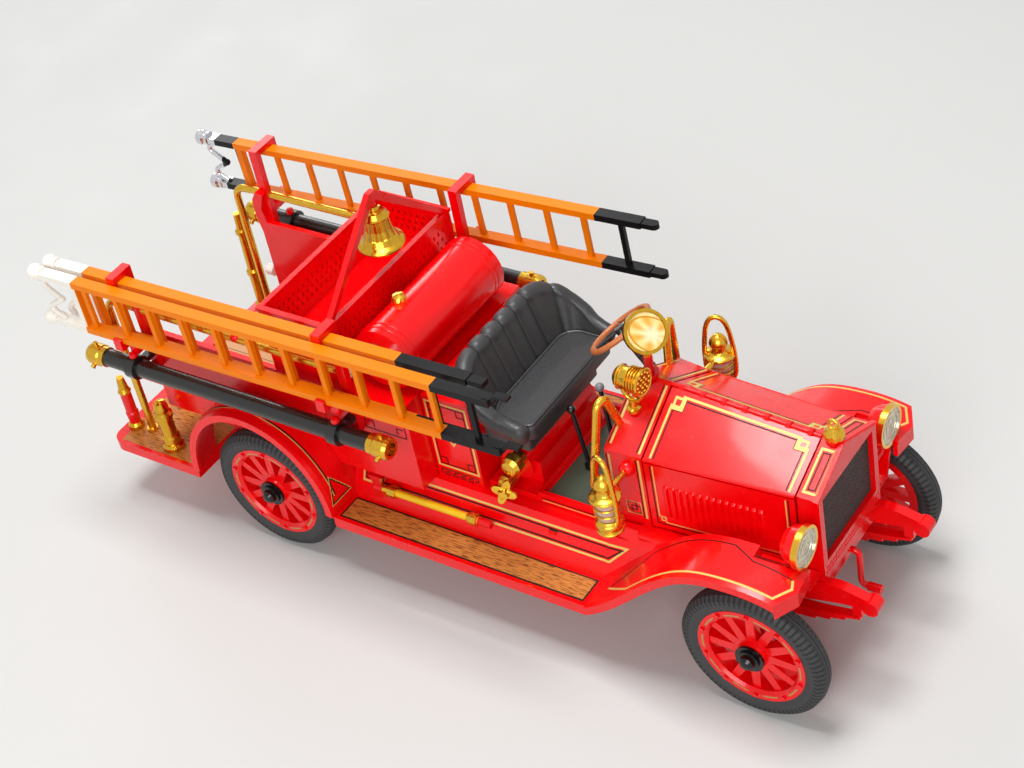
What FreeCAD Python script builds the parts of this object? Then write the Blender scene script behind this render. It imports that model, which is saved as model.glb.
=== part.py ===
import FreeCAD, Part
import math
import os

# A scale model of an open-cab motor fire engine, about 1:32, in millimetres.
# The frame: +X towards the radiator, +Y to the driver's side, +Z up, floor at Z = 0.

# Running gear
wheelbase = 108.4
front_axle_x = 69.345
rear_axle_x = front_axle_x - wheelbase
tyre_radius = 14.3
tyre_width = 4.4
rim_radius = 10.6
felloe_inner_radius = 8.7
felloe_width = 3.6
spoke_count = 12
spoke_width = 1.5
spoke_depth = 1.9
hub_radius = 3.0
hub_length = 5.0
hub_bore_radius = 1.2
axle_clearance = 0.05
hub_cap_radius = 1.55
hub_cap_length = 1.9
hub_flange_radius = 2.8
front_wheel_y = 23.0
rim_lug_count = 10
rim_lug_radius = 0.45
rim_lug_height = 0.35
rim_lug_circle = rim_radius - 0.75

# Steering
kingpin_y = 17.0
kingpin_radius = 0.7
eye_radius = 1.6
eye_bottom_z = 12.6
eye_height = 3.4
fork_gap = 0.15
fork_ear_thickness = 1.3
steering_arm_length = 7.0
steering_arm_width = 1.6
arm_pin_radius = 0.5
tie_rod_radius = 0.55
tie_rod_eye_radius = 1.05
pin_clearance = 0.05

# Frame
rail_y = 10.6
rail_width = 2.0
rail_bottom_z = 18.5
rail_height = 5.0
rail_top_z = rail_bottom_z + rail_height
horn_reach = 17.0
horn_end_radius = 1.6
crossmember_width = 3.0
spring_leaf = 0.6
spring_width = 1.9
spring_half_span = 14.8
front_spring_rise = 2.0
rear_spring_rise = 0.4
shackle_inset = 0.5
plinth_screw_radius = 0.8
plinth_screw_depth = 2.4
plinth_front_x = front_axle_x - 22.0

# Radiator and hood
radiator_front_x = front_axle_x + 8.4
radiator_depth = 4.2
radiator_half_width = 11.0
radiator_bottom_z = 23.55
radiator_shoulder_z = 42.6
radiator_peak_z = 47.4
core_half_width = 9.6
core_bottom_z = 27.6
core_top_z = 42.0
core_depth = 2.6
hood_gap = 0.35
hood_front_x = radiator_front_x - radiator_depth - hood_gap
hood_rear_x = front_axle_x - 25.0
hood_rear_half_width = 13.0
hood_rear_peak_z = 49.9
hood_rear_shoulder_z = 42.4
hood_bottom_z = 26.2
hood_sheet = 0.6
hinge_rod_radius = 0.4
hinge_clearance = 0.15
louvre_count = 15
louvre_height = 7.4
louvre_depth = 0.45
louvre_width = 0.9

# Cowl and cab
cowl_rear_x = front_axle_x - 32.6
cowl_rear_half_width = 13.6
cowl_rear_peak_z = 50.4
cowl_rear_shoulder_z = 42.8
cowl_wall = 0.9
firewall_thickness = 1.0
floor_thickness = 1.6
floor_rear_x = front_axle_x - 60.8
floor_half_width = 13.8
floor_rim_width = 0.8
floor_rim_height = 1.0
toe_board_rise = 5.6
toe_board_run = 5.0
box_rear_x = front_axle_x - 72.0
box_front_x = front_axle_x - 61.4
box_half_width = 15.0
deck_z = 44.0

# Seat
seat_front_x = front_axle_x - 48.6
seat_half_width = 14.8
seat_bottom_z = 34.0
cushion_z = 39.6
cushion_thickness = 3.2
seat_back_z = 53.2
seat_back_thickness = 3.2
seat_back_lean = 2.4
seat_arm_thickness = 2.3
seat_arm_front_z = 41.0
seat_flute_count = 9
seat_flute_depth = 0.5
seat_roll_radius = 1.7
seat_arm_roll = 1.3
seat_cushion_corner = 3.2
seat_piping_radius = 0.32

# Hose body, tank, basket and bell
body_front_x = box_rear_x - 0.3
body_rear_x = rear_axle_x - 29.6
body_half_width = 20.0
rear_wheel_y = body_half_width + 3.6
body_wall = 1.2
bed_floor_z = 26.6
bed_board_thickness = 0.6
body_cover_rear_x = front_axle_x - 86.2
tank_x = front_axle_x - 78.4
tank_radius = 6.6
tank_half_length = body_half_width - 3.0
tank_z = deck_z + tank_radius + 0.1
basket_rear_x = front_axle_x - 103.0
basket_front_x = front_axle_x - 86.0
basket_floor_z = deck_z + 6.0
basket_top_z = basket_floor_z + 9.4
basket_wall = 0.9
arch_bar = 1.2
bell_radius = 4.6
bell_height = 8.6
bell_hang = 3.2
arch_peak_z = basket_top_z + 17.2
bell_mouth_z = arch_peak_z - bell_hang - bell_height
slot_width = 0.5
slot_height = 1.0
slot_pitch = 1.55
slot_row_pitch = 1.7
slot_margin = 1.5
rail_rear_x = body_rear_x - 9.35

# Fenders, boards and step
board_half_width = body_half_width + 7.0
board_top_z = 15.0
board_thickness = 2.4
board_inner_y = board_half_width - 7.6
board_front_x = front_axle_x - 33.0
board_rear_x = rear_axle_x + 16.8
apron_top_y = board_inner_y - 4.0
apron_top_z = rail_top_z
apron_flange_y = rail_y + rail_width / 2 + 0.1
apron_sheet = 0.8
step_rear_x = rail_rear_x - 4.65
step_front_x = step_rear_x + 24.6
step_corner_radius = 3.0
inset_thickness = 0.6
inset_border = 0.9
fender_sheet = 0.9
fender_inner_y = 17.4
fender_outer_y = board_half_width + 0.4
rear_fender_inner_y = body_half_width + 0.1
fender_skirt = 1.6

# Ladders and brackets
ladder_rail_width = 2.4
ladder_rail_height = 1.4
ladder_inner_y = body_half_width + 3.2
ladder_outer_y = ladder_inner_y + 3.5
ladder_top_z = 60.2
ladder_width = 12.6
ladder_inner_extra = 3.4
ladder_tilt = 1.2
rung_width = 1.1
rung_thickness = 0.8
inner_rung_shift = 3.0
rung_spacing = 8.5
ladder_outer_front_x = front_axle_x - 41.0
ladder_inner_front_x = front_axle_x - 48.0
ladder_rear_x = rear_axle_x - 45.785
knob_radius = 1.7
knob_length = 3.6
hook_wire = 0.6
left_ladder_y = body_half_width + 4.4
left_ladder_front_x = front_axle_x - 40.0
left_ladder_rear_x = rear_axle_x - 44.0
left_ladder_top_z = 61.6
left_ladder_tilt = 2.6
bracket_rear_x = rear_axle_x - 27.6
bracket_front_x = front_axle_x - 84.4
bracket_width = 2.0
bracket_thickness = 1.4

# Suction hoses
hose_y = body_half_width + 6.2
hose_rail_radius = 0.6
hose_rail_z = 36.2
hose_z = 39.4
hose_radius = 1.85
hose_rear_x = rear_axle_x - 35.2
hose_front_x = front_axle_x - 76.4
coupling_radius = 2.3
coupling_length = 4.6
clamp_width = 2.2
clamp_thickness = 0.7

# Brass gear
handrail_radius = 0.8
handrail_y = body_half_width + 0.9
handrail_z = 50.2
handrail_rear_x = rear_axle_x - 36.6
grab_y = cowl_rear_half_width + 2.2
lantern_x = cowl_rear_x + 3.6
lantern_y = grab_y + 5.2
lantern_bottom_z = 30.4
headlight_x = front_axle_x + 8.6
headlight_y = radiator_half_width + 5.6
headlight_z = radiator_shoulder_z - 5.4
headlight_radius = 4.1
headlight_depth = 4.2
searchlight_x = cowl_rear_x + 2.8
searchlight_z = cowl_rear_peak_z + 9.6
searchlight_radius = 4.1
siren_x = cowl_rear_x + 2.2
siren_y = -6.2
siren_z = cowl_rear_peak_z + 3.8
wheel_centre_x = front_axle_x - 40.2
steering_y = 7.4
steering_z = 52.0
steering_rim_radius = 6.4
steering_rim_wire = 0.55
column_angle = 38.0

os.makedirs("parts", exist_ok=True)

V = FreeCAD.Vector
AXIS_X = V(1, 0, 0)
AXIS_Y = V(0, 1, 0)
AXIS_Z = V(0, 0, 1)


def save(name, solids):
    """Write one node; like pieces that stay apart are kept as one compound of solids."""
    shapes = solids if isinstance(solids, list) else [solids]
    shape = shapes[0] if len(shapes) == 1 else Part.makeCompound(shapes)
    shape.exportStep("parts/" + name + ".step")
    count = sum(len(s.Solids) for s in shapes)
    print(name, count, round(shape.Volume, 1), shape.isValid())


def box(x0, x1, y0, y1, z0, z1):
    """A block between two corners."""
    return Part.makeBox(x1 - x0, y1 - y0, z1 - z0, V(x0, y0, z0))


def rod(start, end, radius):
    """A round bar from one point to another."""
    a = V(*start)
    b = V(*end)
    return Part.makeCylinder(radius, (b - a).Length, a, b - a)


def prism_y(points, y0, y1):
    """A side outline in X and Z, carried along Y."""
    wire = Part.makePolygon([V(x, y0, z) for x, z in points + points[:1]])
    return Part.Face(wire).extrude(V(0, y1 - y0, 0))


def prism_x(points, x0, x1):
    """A front outline in Y and Z, carried along X."""
    wire = Part.makePolygon([V(x0, y, z) for y, z in points + points[:1]])
    return Part.Face(wire).extrude(V(x1 - x0, 0, 0))


def prism_z(points, z0, z1):
    """A plan outline in X and Y, carried along Z."""
    wire = Part.makePolygon([V(x, y, z0) for x, y in points + points[:1]])
    return Part.Face(wire).extrude(V(0, 0, z1 - z0))


def turned(profile, origin, axis):
    """A half profile of (radius, height) pairs turned about an axis through origin."""
    wire = Part.makePolygon([V(r, 0, h) for r, h in profile + profile[:1]])
    solid = Part.Face(wire).revolve(V(0, 0, 0), AXIS_Z, 360)
    turn = FreeCAD.Rotation(AXIS_Z, V(*axis))
    solid.Placement = FreeCAD.Placement(V(*origin), turn)
    return solid


def joined(shapes):
    """Fuse overlapping shapes into one solid and merge their coplanar faces."""
    whole = shapes[0]
    if len(shapes) > 1:
        whole = shapes[0].fuse(shapes[1:])
    return whole.removeSplitter()


def mirrored(shape):
    """The same piece on the other side of the centre plane."""
    return shape.mirror(V(0, 0, 0), AXIS_Y)


def bent_tube(points, radius, bend):
    """A round tube along straight runs joined by arcs of one bend radius."""
    pts = [V(*p) for p in points]
    edges = []
    last = pts[0]
    for i in range(1, len(pts) - 1):
        a = (pts[i - 1] - pts[i]).normalize()
        b = (pts[i + 1] - pts[i]).normalize()
        half = a.getAngle(b) / 2
        cut = bend / math.tan(half)
        start = pts[i] + a * cut
        end = pts[i] + b * cut
        middle = pts[i] + (a + b).normalize() * (bend / math.sin(half) - bend)
        edges.append(Part.LineSegment(last, start).toShape())
        edges.append(Part.Arc(start, middle, end).toShape())
        last = end
    edges.append(Part.LineSegment(last, pts[-1]).toShape())
    path = Part.Wire(edges)
    first = (pts[1] - pts[0]).normalize()
    ring = Part.Wire([Part.Circle(pts[0], first, radius).toShape()])
    return path.makePipeShell([ring], True, False)


# Wheels: spoked artillery wheels with a rubber tyre, one hub cap each
def tyre(centre):
    """A tyre with a rounded crown and a bead that sits on the felloe."""
    half = tyre_width / 2
    shoulder = tyre_radius - 1.1
    profile = [(rim_radius, -half * 0.78), (rim_radius + 1.1, -half), (shoulder, -half),
               (tyre_radius - 0.25, -half * 0.62), (tyre_radius, 0), (tyre_radius - 0.25, half * 0.62),
               (shoulder, half), (rim_radius + 1.1, half), (rim_radius, half * 0.78)]
    return turned(profile, centre, (0, 1, 0))


def spoked_wheel(centre, side):
    """Felloe, twelve spokes, hub and domed hub cap, all turned or patterned about the axle."""
    x, y, z = centre
    half = felloe_width / 2
    felloe = turned([(felloe_inner_radius, -half * 0.8), (rim_radius, -half), (rim_radius, half),
                     (felloe_inner_radius + 0.5, half), (felloe_inner_radius, half * 0.7)],
                    (x, y, z), (0, side, 0))
    hub = turned([(0, -hub_length / 2), (hub_radius - 0.3, -hub_length / 2), (hub_radius, -half),
                  (hub_radius, half * 0.6), (hub_flange_radius, half * 0.9),
                  (hub_flange_radius, hub_length / 2), (0, hub_length / 2)], (x, y, z), (0, side, 0))
    cap_start = hub_length / 2
    cap = turned([(0, cap_start), (hub_cap_radius + 0.5, cap_start), (hub_cap_radius + 0.5, cap_start + 0.4),
                  (hub_cap_radius, cap_start + 0.5), (hub_cap_radius * 0.93, cap_start + 1.2),
                  (hub_cap_radius * 0.6, cap_start + 1.7), (0, cap_start + hub_cap_length)],
                 (x, y, z), (0, side, 0))
    spokes = []
    for i in range(spoke_count):
        angle = 360.0 * i / spoke_count
        inner = hub_radius - 0.4
        outer = felloe_inner_radius + 0.5
        outline = [(inner, -spoke_width * 0.62), (outer, -spoke_width * 0.5),
                   (outer, spoke_width * 0.5), (inner, spoke_width * 0.62)]
        blade = prism_y([(x + r, z + w) for r, w in outline], y - spoke_depth / 2, y + spoke_depth / 2)
        blade.rotate(V(x, y, z), AXIS_Y, angle)
        spokes.append(blade)
    lugs = []
    for i in range(rim_lug_count):
        angle = math.radians(360.0 * (i + 0.5) / rim_lug_count)
        at = V(x + rim_lug_circle * math.cos(angle), y + side * (half - 0.2), z + rim_lug_circle * math.sin(angle))
        lugs.append(Part.makeCylinder(rim_lug_radius, rim_lug_height + 0.2, at, V(0, side, 0)))
    wheel = joined([felloe, hub, cap] + spokes + lugs)
    depth = hub_length - 1.0
    inner_end = y - side * hub_length / 2
    bore = Part.makeCylinder(hub_bore_radius, depth, V(x, inner_end, z), V(0, side, 0))
    return wheel.cut(bore)


for name, x, y in (("front_left", front_axle_x, front_wheel_y), ("front_right", front_axle_x, -front_wheel_y),
                   ("rear_left", rear_axle_x, rear_wheel_y), ("rear_right", rear_axle_x, -rear_wheel_y)):
    side = 1 if y > 0 else -1
    save("tyre_" + name, tyre((x, y, tyre_radius)))
    save("wheel_" + name, spoked_wheel((x, y, tyre_radius), side))

# Axles and steering
stub_radius = hub_bore_radius - axle_clearance
eye_top_z = eye_bottom_z + eye_height
fork_top_z = eye_top_z + fork_gap
fork_bottom_z = eye_bottom_z - fork_gap
stub_end_y = front_wheel_y + hub_length / 2 - 1.2


def knuckle(side):
    """A forked steering knuckle with its kingpin, stub axle and rearward steering arm."""
    x = front_axle_x
    y = kingpin_y * side
    upper = Part.makeCylinder(eye_radius, fork_ear_thickness, V(x, y, fork_top_z))
    lower = Part.makeCylinder(eye_radius, fork_ear_thickness, V(x, y, fork_bottom_z - fork_ear_thickness))
    back_y = y + side * (eye_radius + 0.3)
    plate_y = back_y + side * 1.2
    y0, y1 = sorted((back_y, plate_y))
    plate = box(x - eye_radius, x + eye_radius, y0, y1, fork_bottom_z - fork_ear_thickness,
                fork_top_z + fork_ear_thickness)
    y0, y1 = sorted((y, plate_y))
    top_web = box(x - eye_radius, x + eye_radius, y0, y1, fork_top_z, fork_top_z + fork_ear_thickness)
    low_web = box(x - eye_radius, x + eye_radius, y0, y1, fork_bottom_z - fork_ear_thickness, fork_bottom_z)
    pin = Part.makeCylinder(kingpin_radius, fork_top_z - fork_bottom_z + 0.6, V(x, y, fork_bottom_z - 0.3))
    stub = rod((x, back_y, tyre_radius), (x, side * stub_end_y, tyre_radius), stub_radius)
    arm_x = x - steering_arm_length
    arm_z = fork_bottom_z - fork_ear_thickness
    arm = box(arm_x, x, y - steering_arm_width / 2, y + steering_arm_width / 2, arm_z, arm_z + fork_ear_thickness)
    boss = Part.makeCylinder(tie_rod_eye_radius, fork_ear_thickness, V(arm_x, y, arm_z))
    arm_pin = Part.makeCylinder(arm_pin_radius, 1.7, V(arm_x, y, arm_z - 1.6))
    return joined([upper, lower, plate, top_web, low_web, pin, stub, arm, boss, arm_pin])


save("knuckle_left", knuckle(1))
save("knuckle_right", knuckle(-1))

beam_low_z = eye_bottom_z - 2.0
beam_high_z = eye_bottom_z + 0.9
beam_half = 1.3
beam = prism_x([(-13.0, beam_low_z), (13.0, beam_low_z), (kingpin_y - 1.0, eye_bottom_z + 0.3),
                (kingpin_y - 1.0, eye_top_z - 0.3), (12.6, beam_high_z), (-12.6, beam_high_z),
                (1.0 - kingpin_y, eye_top_z - 0.3), (1.0 - kingpin_y, eye_bottom_z + 0.3)],
               front_axle_x - beam_half, front_axle_x + beam_half)
eyes = [Part.makeCylinder(eye_radius, eye_height, V(front_axle_x, s * kingpin_y, eye_bottom_z)) for s in (1, -1)]
front_axle = joined([beam] + eyes)
for s in (1, -1):
    front_axle = front_axle.cut(Part.makeCylinder(kingpin_radius + pin_clearance, eye_height + 2,
                                                  V(front_axle_x, s * kingpin_y, eye_bottom_z - 1)))
save("front_axle", front_axle)

arm_x = front_axle_x - steering_arm_length
tie_z = fork_bottom_z - fork_ear_thickness - 0.8
tie_parts = [rod((arm_x, -kingpin_y, tie_z), (arm_x, kingpin_y, tie_z), tie_rod_radius)]
for s in (1, -1):
    tie_parts.append(Part.makeCylinder(tie_rod_eye_radius, 1.4, V(arm_x, s * kingpin_y, tie_z - 0.7)))
tie_rod = joined(tie_parts)
for s in (1, -1):
    tie_rod = tie_rod.cut(Part.makeCylinder(arm_pin_radius + pin_clearance, 3, V(arm_x, s * kingpin_y, tie_z - 1.5)))
save("tie_rod", tie_rod)

torque_tube_radius = 0.9
torque_tube_x = front_axle_x - 52.0 - crossmember_width / 2 - 0.05
torque_tube_z = rail_top_z - 2.4
final_drive_radius = 4.0
rear_stub_y = rear_wheel_y + hub_length / 2 - 1.2
axle_tube_radius = 1.7
axle_tube_end = rear_wheel_y - hub_length / 2 - 0.3
rear_axle = joined([
    rod((rear_axle_x, -axle_tube_end, tyre_radius), (rear_axle_x, axle_tube_end, tyre_radius), axle_tube_radius),
    rod((rear_axle_x, -rear_stub_y, tyre_radius), (rear_axle_x, rear_stub_y, tyre_radius), stub_radius),
    Part.makeSphere(final_drive_radius, V(rear_axle_x, 0, tyre_radius)),
    rod((rear_axle_x, 0, tyre_radius), (torque_tube_x + 1, 0, torque_tube_z), torque_tube_radius)])
rear_axle = rear_axle.cut(box(torque_tube_x, torque_tube_x + 9, -9, 9, 0, rail_top_z))
save("rear_axle", rear_axle)


# Leaf springs: curved leaves, the longest on top
def leaf_stack(centre_x, half_span, seat_z, rise, y, count):
    """Arched leaves, each shorter than the one above, clamped on the axle."""
    leaves = []
    for i in range(count):
        span = half_span * (1.0 - 0.2 * (count - 1 - i))
        lift = rise * (span / half_span) ** 2
        low = seat_z + i * spring_leaf
        a = V(centre_x - span, y, low + lift)
        b = V(centre_x, y, low)
        c = V(centre_x + span, y, low + lift)
        up = V(0, 0, spring_leaf)
        edges = [Part.Arc(a, b, c).toShape(), Part.LineSegment(c, c + up).toShape(),
                 Part.Arc(c + up, b + up, a + up).toShape(), Part.LineSegment(a + up, a).toShape()]
        leaf = Part.Face(Part.Wire(edges)).extrude(V(0, spring_width, 0))
        leaf.translate(V(0, -spring_width / 2, 0))
        leaves.append(leaf)
    leaves.append(box(centre_x - 1.6, centre_x + 1.6, y - spring_width / 2 - 0.3, y + spring_width / 2 + 0.3,
                      seat_z, seat_z + count * spring_leaf + 0.4))
    return joined(leaves)


front_seat_z = beam_high_z + 0.02
rear_seat_z = tyre_radius + axle_tube_radius + 0.02
springs = []
for s in (1, -1):
    springs.append(leaf_stack(front_axle_x, spring_half_span, front_seat_z, front_spring_rise, s * rail_y, 4))
for s in (1, -1):
    springs.append(leaf_stack(rear_axle_x, spring_half_span, rear_seat_z, rear_spring_rise, s * rail_y, 3))
save("leaf_springs", springs)

# Frame: two channel rails with dumb irons, cross members and the starting crank
frame_parts = []
horn_x = front_axle_x + horn_reach
horn_root_x = front_axle_x + 4.0
horn_bend_x = radiator_front_x + 0.2
horn_end_z = rail_top_z - 2.3
for s in (1, -1):
    y0 = s * rail_y - rail_width / 2
    y1 = s * rail_y + rail_width / 2
    rail = box(rail_rear_x, horn_root_x, y0, y1, rail_bottom_z, rail_top_z)
    top = Part.BSplineCurve()
    top.interpolate([V(horn_bend_x, y0, rail_top_z), V(horn_bend_x + 2.6, y0, rail_top_z + 0.3),
                     V(horn_bend_x + 5.4, y0, rail_top_z - 0.2), V(horn_x, y0, horn_end_z + horn_end_radius - 0.1)])
    low = Part.BSplineCurve()
    low.interpolate([V(horn_x, y0, horn_end_z - horn_end_radius + 0.1), V(horn_bend_x + 5.0, y0, rail_top_z - 3.3),
                     V(horn_bend_x + 0.8, y0, rail_top_z - 3.9), V(horn_root_x, y0, rail_bottom_z)])
    ends = [Part.LineSegment(top.value(top.LastParameter), low.value(low.FirstParameter)).toShape(),
            Part.LineSegment(low.value(low.LastParameter), V(horn_root_x, y0, rail_top_z)).toShape()]
    ends.append(Part.LineSegment(V(horn_root_x, y0, rail_top_z), top.value(top.FirstParameter)).toShape())
    outline = Part.Wire([ends[2], top.toShape(), ends[0], low.toShape(), ends[1]])
    horn = Part.Face(outline).extrude(V(0, rail_width, 0))
    rail = joined([rail, horn])
    nose = rod((horn_x, y0 - 0.4, horn_end_z), (horn_x, y1 + 0.4, horn_end_z), horn_end_radius)
    frame_parts += [rail, nose]
inner_y = rail_y - rail_width / 2 + 0.2
member_low_z = rail_top_z - 3.6
member_top_z = rail_top_z - 0.6
crank_x = front_axle_x + 6.0
plinth_rear_x = rear_axle_x - 17.0
for x in (crank_x, front_axle_x - 3.0, plinth_front_x, front_axle_x - 52.0, rear_axle_x + 18.0,
          plinth_rear_x, rail_rear_x + crossmember_width):
    frame_parts.append(box(x - crossmember_width / 2, x + crossmember_width / 2, -inner_y, inner_y,
                           member_low_z, member_top_z))
front_end_z = front_seat_z + 4 * spring_leaf + front_spring_rise + 0.05
rear_end_z = rear_seat_z + 3 * spring_leaf + rear_spring_rise + 0.05
shackle_reach = spring_half_span - shackle_inset
for s in (1, -1):
    for x, low in ((front_axle_x, front_end_z), (rear_axle_x, rear_end_z)):
        for end in (-1, 1):
            frame_parts.append(box(x + end * shackle_reach - 0.9, x + end * shackle_reach + 0.9,
                                   s * rail_y - 0.9, s * rail_y + 0.9, low, rail_top_z - 1.0))
chassis_frame = joined(frame_parts)
for x in (plinth_front_x, plinth_rear_x):
    chassis_frame = chassis_frame.cut(Part.makeCylinder(plinth_screw_radius, plinth_screw_depth,
                                                        V(x, 0, member_low_z)))
crank_z = (member_low_z + member_top_z) / 2
crank_shaft_radius = 0.6
chassis_frame = chassis_frame.cut(rod((crank_x - 3, 0, crank_z), (crank_x + 3, 0, crank_z),
                                      crank_shaft_radius + axle_clearance))
save("chassis_frame", chassis_frame)

crank_arm_x = radiator_front_x + 0.9
crank_drop = 8.2
crank_grip_x = crank_arm_x + 4.0
crank = joined([bent_tube([(crank_x - 2.4, 0, crank_z), (crank_arm_x, 0, crank_z),
                           (crank_arm_x, 0, crank_z - crank_drop), (crank_grip_x, 0, crank_z - crank_drop)],
                          crank_shaft_radius, 1.2),
                rod((crank_arm_x + 1.4, 0, crank_z - crank_drop), (crank_grip_x, 0, crank_z - crank_drop), 0.9)])
save("starting_crank", crank)

engine_front_x = front_axle_x + 1.0
engine_rear_x = front_axle_x - 23.4
engine_half_width = 7.4
engine_top_z = 40.0
save("engine_block", box(engine_rear_x, engine_front_x, -engine_half_width, engine_half_width,
                         member_top_z + 0.05, engine_top_z))


# Radiator: a gable-topped shell round a flat core, with a cap and its loop
def gable(half_width, low, shoulder, peak):
    """The outline of a shell, hood or cowl seen from the front."""
    return [(-half_width, low), (half_width, low), (half_width, shoulder), (0, peak), (-half_width, shoulder)]


shell_rear_x = radiator_front_x - radiator_depth
shell = prism_x(gable(radiator_half_width, radiator_bottom_z, radiator_shoulder_z, radiator_peak_z),
                shell_rear_x, radiator_front_x)
bead = prism_x(gable(radiator_half_width + 0.35, radiator_shoulder_z - 0.2, radiator_shoulder_z + 0.15,
                     radiator_peak_z + 0.4), radiator_front_x - 0.9, radiator_front_x)
shell = joined([shell, bead])
window = box(shell_rear_x - 1, radiator_front_x + 1, -core_half_width, core_half_width, core_bottom_z, core_top_z)
neck_radius = 1.5
neck_x = radiator_front_x - radiator_depth / 2
neck = Part.makeCylinder(neck_radius, 1.4, V(neck_x, 0, radiator_peak_z - 0.9))
shell = joined([shell.cut(window), neck])
save("radiator_shell", shell)
core_x = shell_rear_x + 0.6
core = box(core_x, core_x + core_depth, -core_half_width, core_half_width, core_bottom_z, core_top_z)
save("radiator_core", core)


def scalloped(cap, x, y, radius, grips):
    """Cut upright finger grips round a cap of this radius."""
    cutters = []
    for i in range(grips):
        angle = 2 * math.pi * i / grips
        reach = radius + 0.15
        cutters.append(Part.makeCylinder(0.35, 99, V(x + reach * math.cos(angle), y + reach * math.sin(angle), 0)))
    return cap.cut(cutters)


cap_z = radiator_peak_z + 0.55
cap_radius = 1.9
cap_loop = Part.makeTorus(0.95, 0.3, V(neck_x, 0, cap_z + 2.6), AXIS_Y)
cap_disc = turned([(0, 0), (cap_radius, 0), (cap_radius, 0.9), (1.2, 1.5), (0.7, 1.9), (0, 1.9)],
                  (neck_x, 0, cap_z), (0, 0, 1))
radiator_cap = joined([scalloped(cap_disc, neck_x, 0, cap_radius, 9), cap_loop])


# Hood: two top panels hinged on the ridge and two louvred side panels hinged on the top ones
class Line:
    """A hinge line from the front end of the hood to its rear end."""

    def __init__(self, front_y, front_z, rear_y, rear_z):
        self.front = V(hood_front_x, front_y, front_z)
        self.rear = V(hood_rear_x, rear_y, rear_z)


half_sheet = hood_sheet / 2
ridge = Line(0, radiator_peak_z - 0.4, 0, hood_rear_peak_z - 0.4)
fold = Line(radiator_half_width - 0.1, radiator_shoulder_z - 0.3, hood_rear_half_width - 0.3,
            hood_rear_shoulder_z - 0.3)
sill_gap = 0.3
bottom = Line(radiator_half_width - 0.1, hood_bottom_z, hood_rear_half_width - 0.3, hood_bottom_z)
hinge_edge = hinge_rod_radius + hinge_clearance


def strip(inner, outer, inner_gap, outer_gap):
    """A flat sheet between two lines, held back from each by a gap measured along the sheet."""
    wires = []
    for a, b in ((inner.front, outer.front), (inner.rear, outer.rear)):
        along = (b - a).normalize()
        normal = V(0, -along.z, along.y)
        start = a + along * inner_gap
        end = b - along * outer_gap
        corners = [start + normal * half_sheet, end + normal * half_sheet,
                   end - normal * half_sheet, start - normal * half_sheet]
        wires.append(Part.makePolygon(corners + corners[:1]))
    return Part.makeLoft(wires, True, True)


def hood_top():
    """The left top panel with the hinge bead along its lower edge."""
    panel = strip(ridge, fold, hinge_edge, 0)
    along = fold.rear - fold.front
    bead = Part.makeCylinder(hinge_rod_radius, along.Length, fold.front, along)
    ends = box(hood_rear_x, hood_front_x, -40, 40, 0, 90)
    return joined([panel, bead]).common(ends)


def hood_side():
    """The left side panel with its row of pressed louvres."""
    panel = strip(fold, bottom, hinge_edge, 0)
    parts = [panel]
    run = (fold.rear - fold.front) * (1.0 / (louvre_count + 7.0))
    louvre_z = 33.4
    for i in range(louvre_count):
        at = fold.front + run * (i + 5.0)
        y = at.y + half_sheet - 0.05
        parts.append(prism_z([(at.x - louvre_width / 2, y - 0.2), (at.x + louvre_width / 2, y - 0.2),
                              (at.x + louvre_width / 2, y), (at.x - louvre_width / 2, y + louvre_depth)],
                             louvre_z - louvre_height / 2, louvre_z + louvre_height / 2))
    return joined(parts)


top_panel = hood_top()
side_panel = hood_side()
save("hood_top_left", top_panel)
save("hood_top_right", mirrored(top_panel))
save("hood_side_left", side_panel)
save("hood_side_right", mirrored(side_panel))

# Cowl: a hollow hood-shaped scuttle with its firewall, the hood sills and the ridge rod
cowl_front_x = hood_rear_x - hood_gap


def gable_wire(x, half_width, low, shoulder, peak, inset):
    """A closed gable outline at one station, drawn in from the outside by a wall."""
    points = gable(half_width - inset, low, shoulder - inset * 0.6, peak - inset * 1.1)
    corners = [V(x, y, z) for y, z in points]
    return Part.makePolygon(corners + corners[:1])


floor_top_z = rail_top_z + floor_thickness
cowl_low_z = floor_top_z + 0.1
outer = Part.makeLoft([gable_wire(cowl_front_x, hood_rear_half_width, cowl_low_z, hood_rear_shoulder_z,
                                  hood_rear_peak_z, 0),
                       gable_wire(cowl_rear_x, cowl_rear_half_width, cowl_low_z, cowl_rear_shoulder_z,
                                  cowl_rear_peak_z, 0)], True, True)
inner = Part.makeLoft([gable_wire(cowl_front_x - firewall_thickness, hood_rear_half_width, cowl_low_z - 6,
                                  hood_rear_shoulder_z, hood_rear_peak_z, cowl_wall),
                       gable_wire(cowl_rear_x - 1, cowl_rear_half_width, cowl_low_z - 6, cowl_rear_shoulder_z,
                                  cowl_rear_peak_z, cowl_wall)], True, True)
sill_top_z = hood_bottom_z - sill_gap
sills = []
for s in (1, -1):
    front_y = radiator_half_width - 0.3
    rear_y = hood_rear_half_width - 0.3
    sill = prism_z([(cowl_front_x - 0.5, s * (rail_y - 0.9)), (hood_front_x - 0.1, s * (rail_y - 0.9)),
                    (hood_front_x - 0.1, s * front_y), (cowl_front_x - 0.5, s * rear_y)],
                   rail_top_z + 0.05, sill_top_z)
    sills.append(sill)
ridge_rod = Part.makeCylinder(hinge_rod_radius, (ridge.rear - ridge.front).Length + 1.2, ridge.front,
                              ridge.rear - ridge.front)
cowl = joined([outer.cut(inner)] + sills + [ridge_rod])
cowl_skin = outer.copy()
cowl_skin.scale(1.002, V(cowl_rear_x, 0, cowl_low_z))
save("cowl", cowl)

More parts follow.
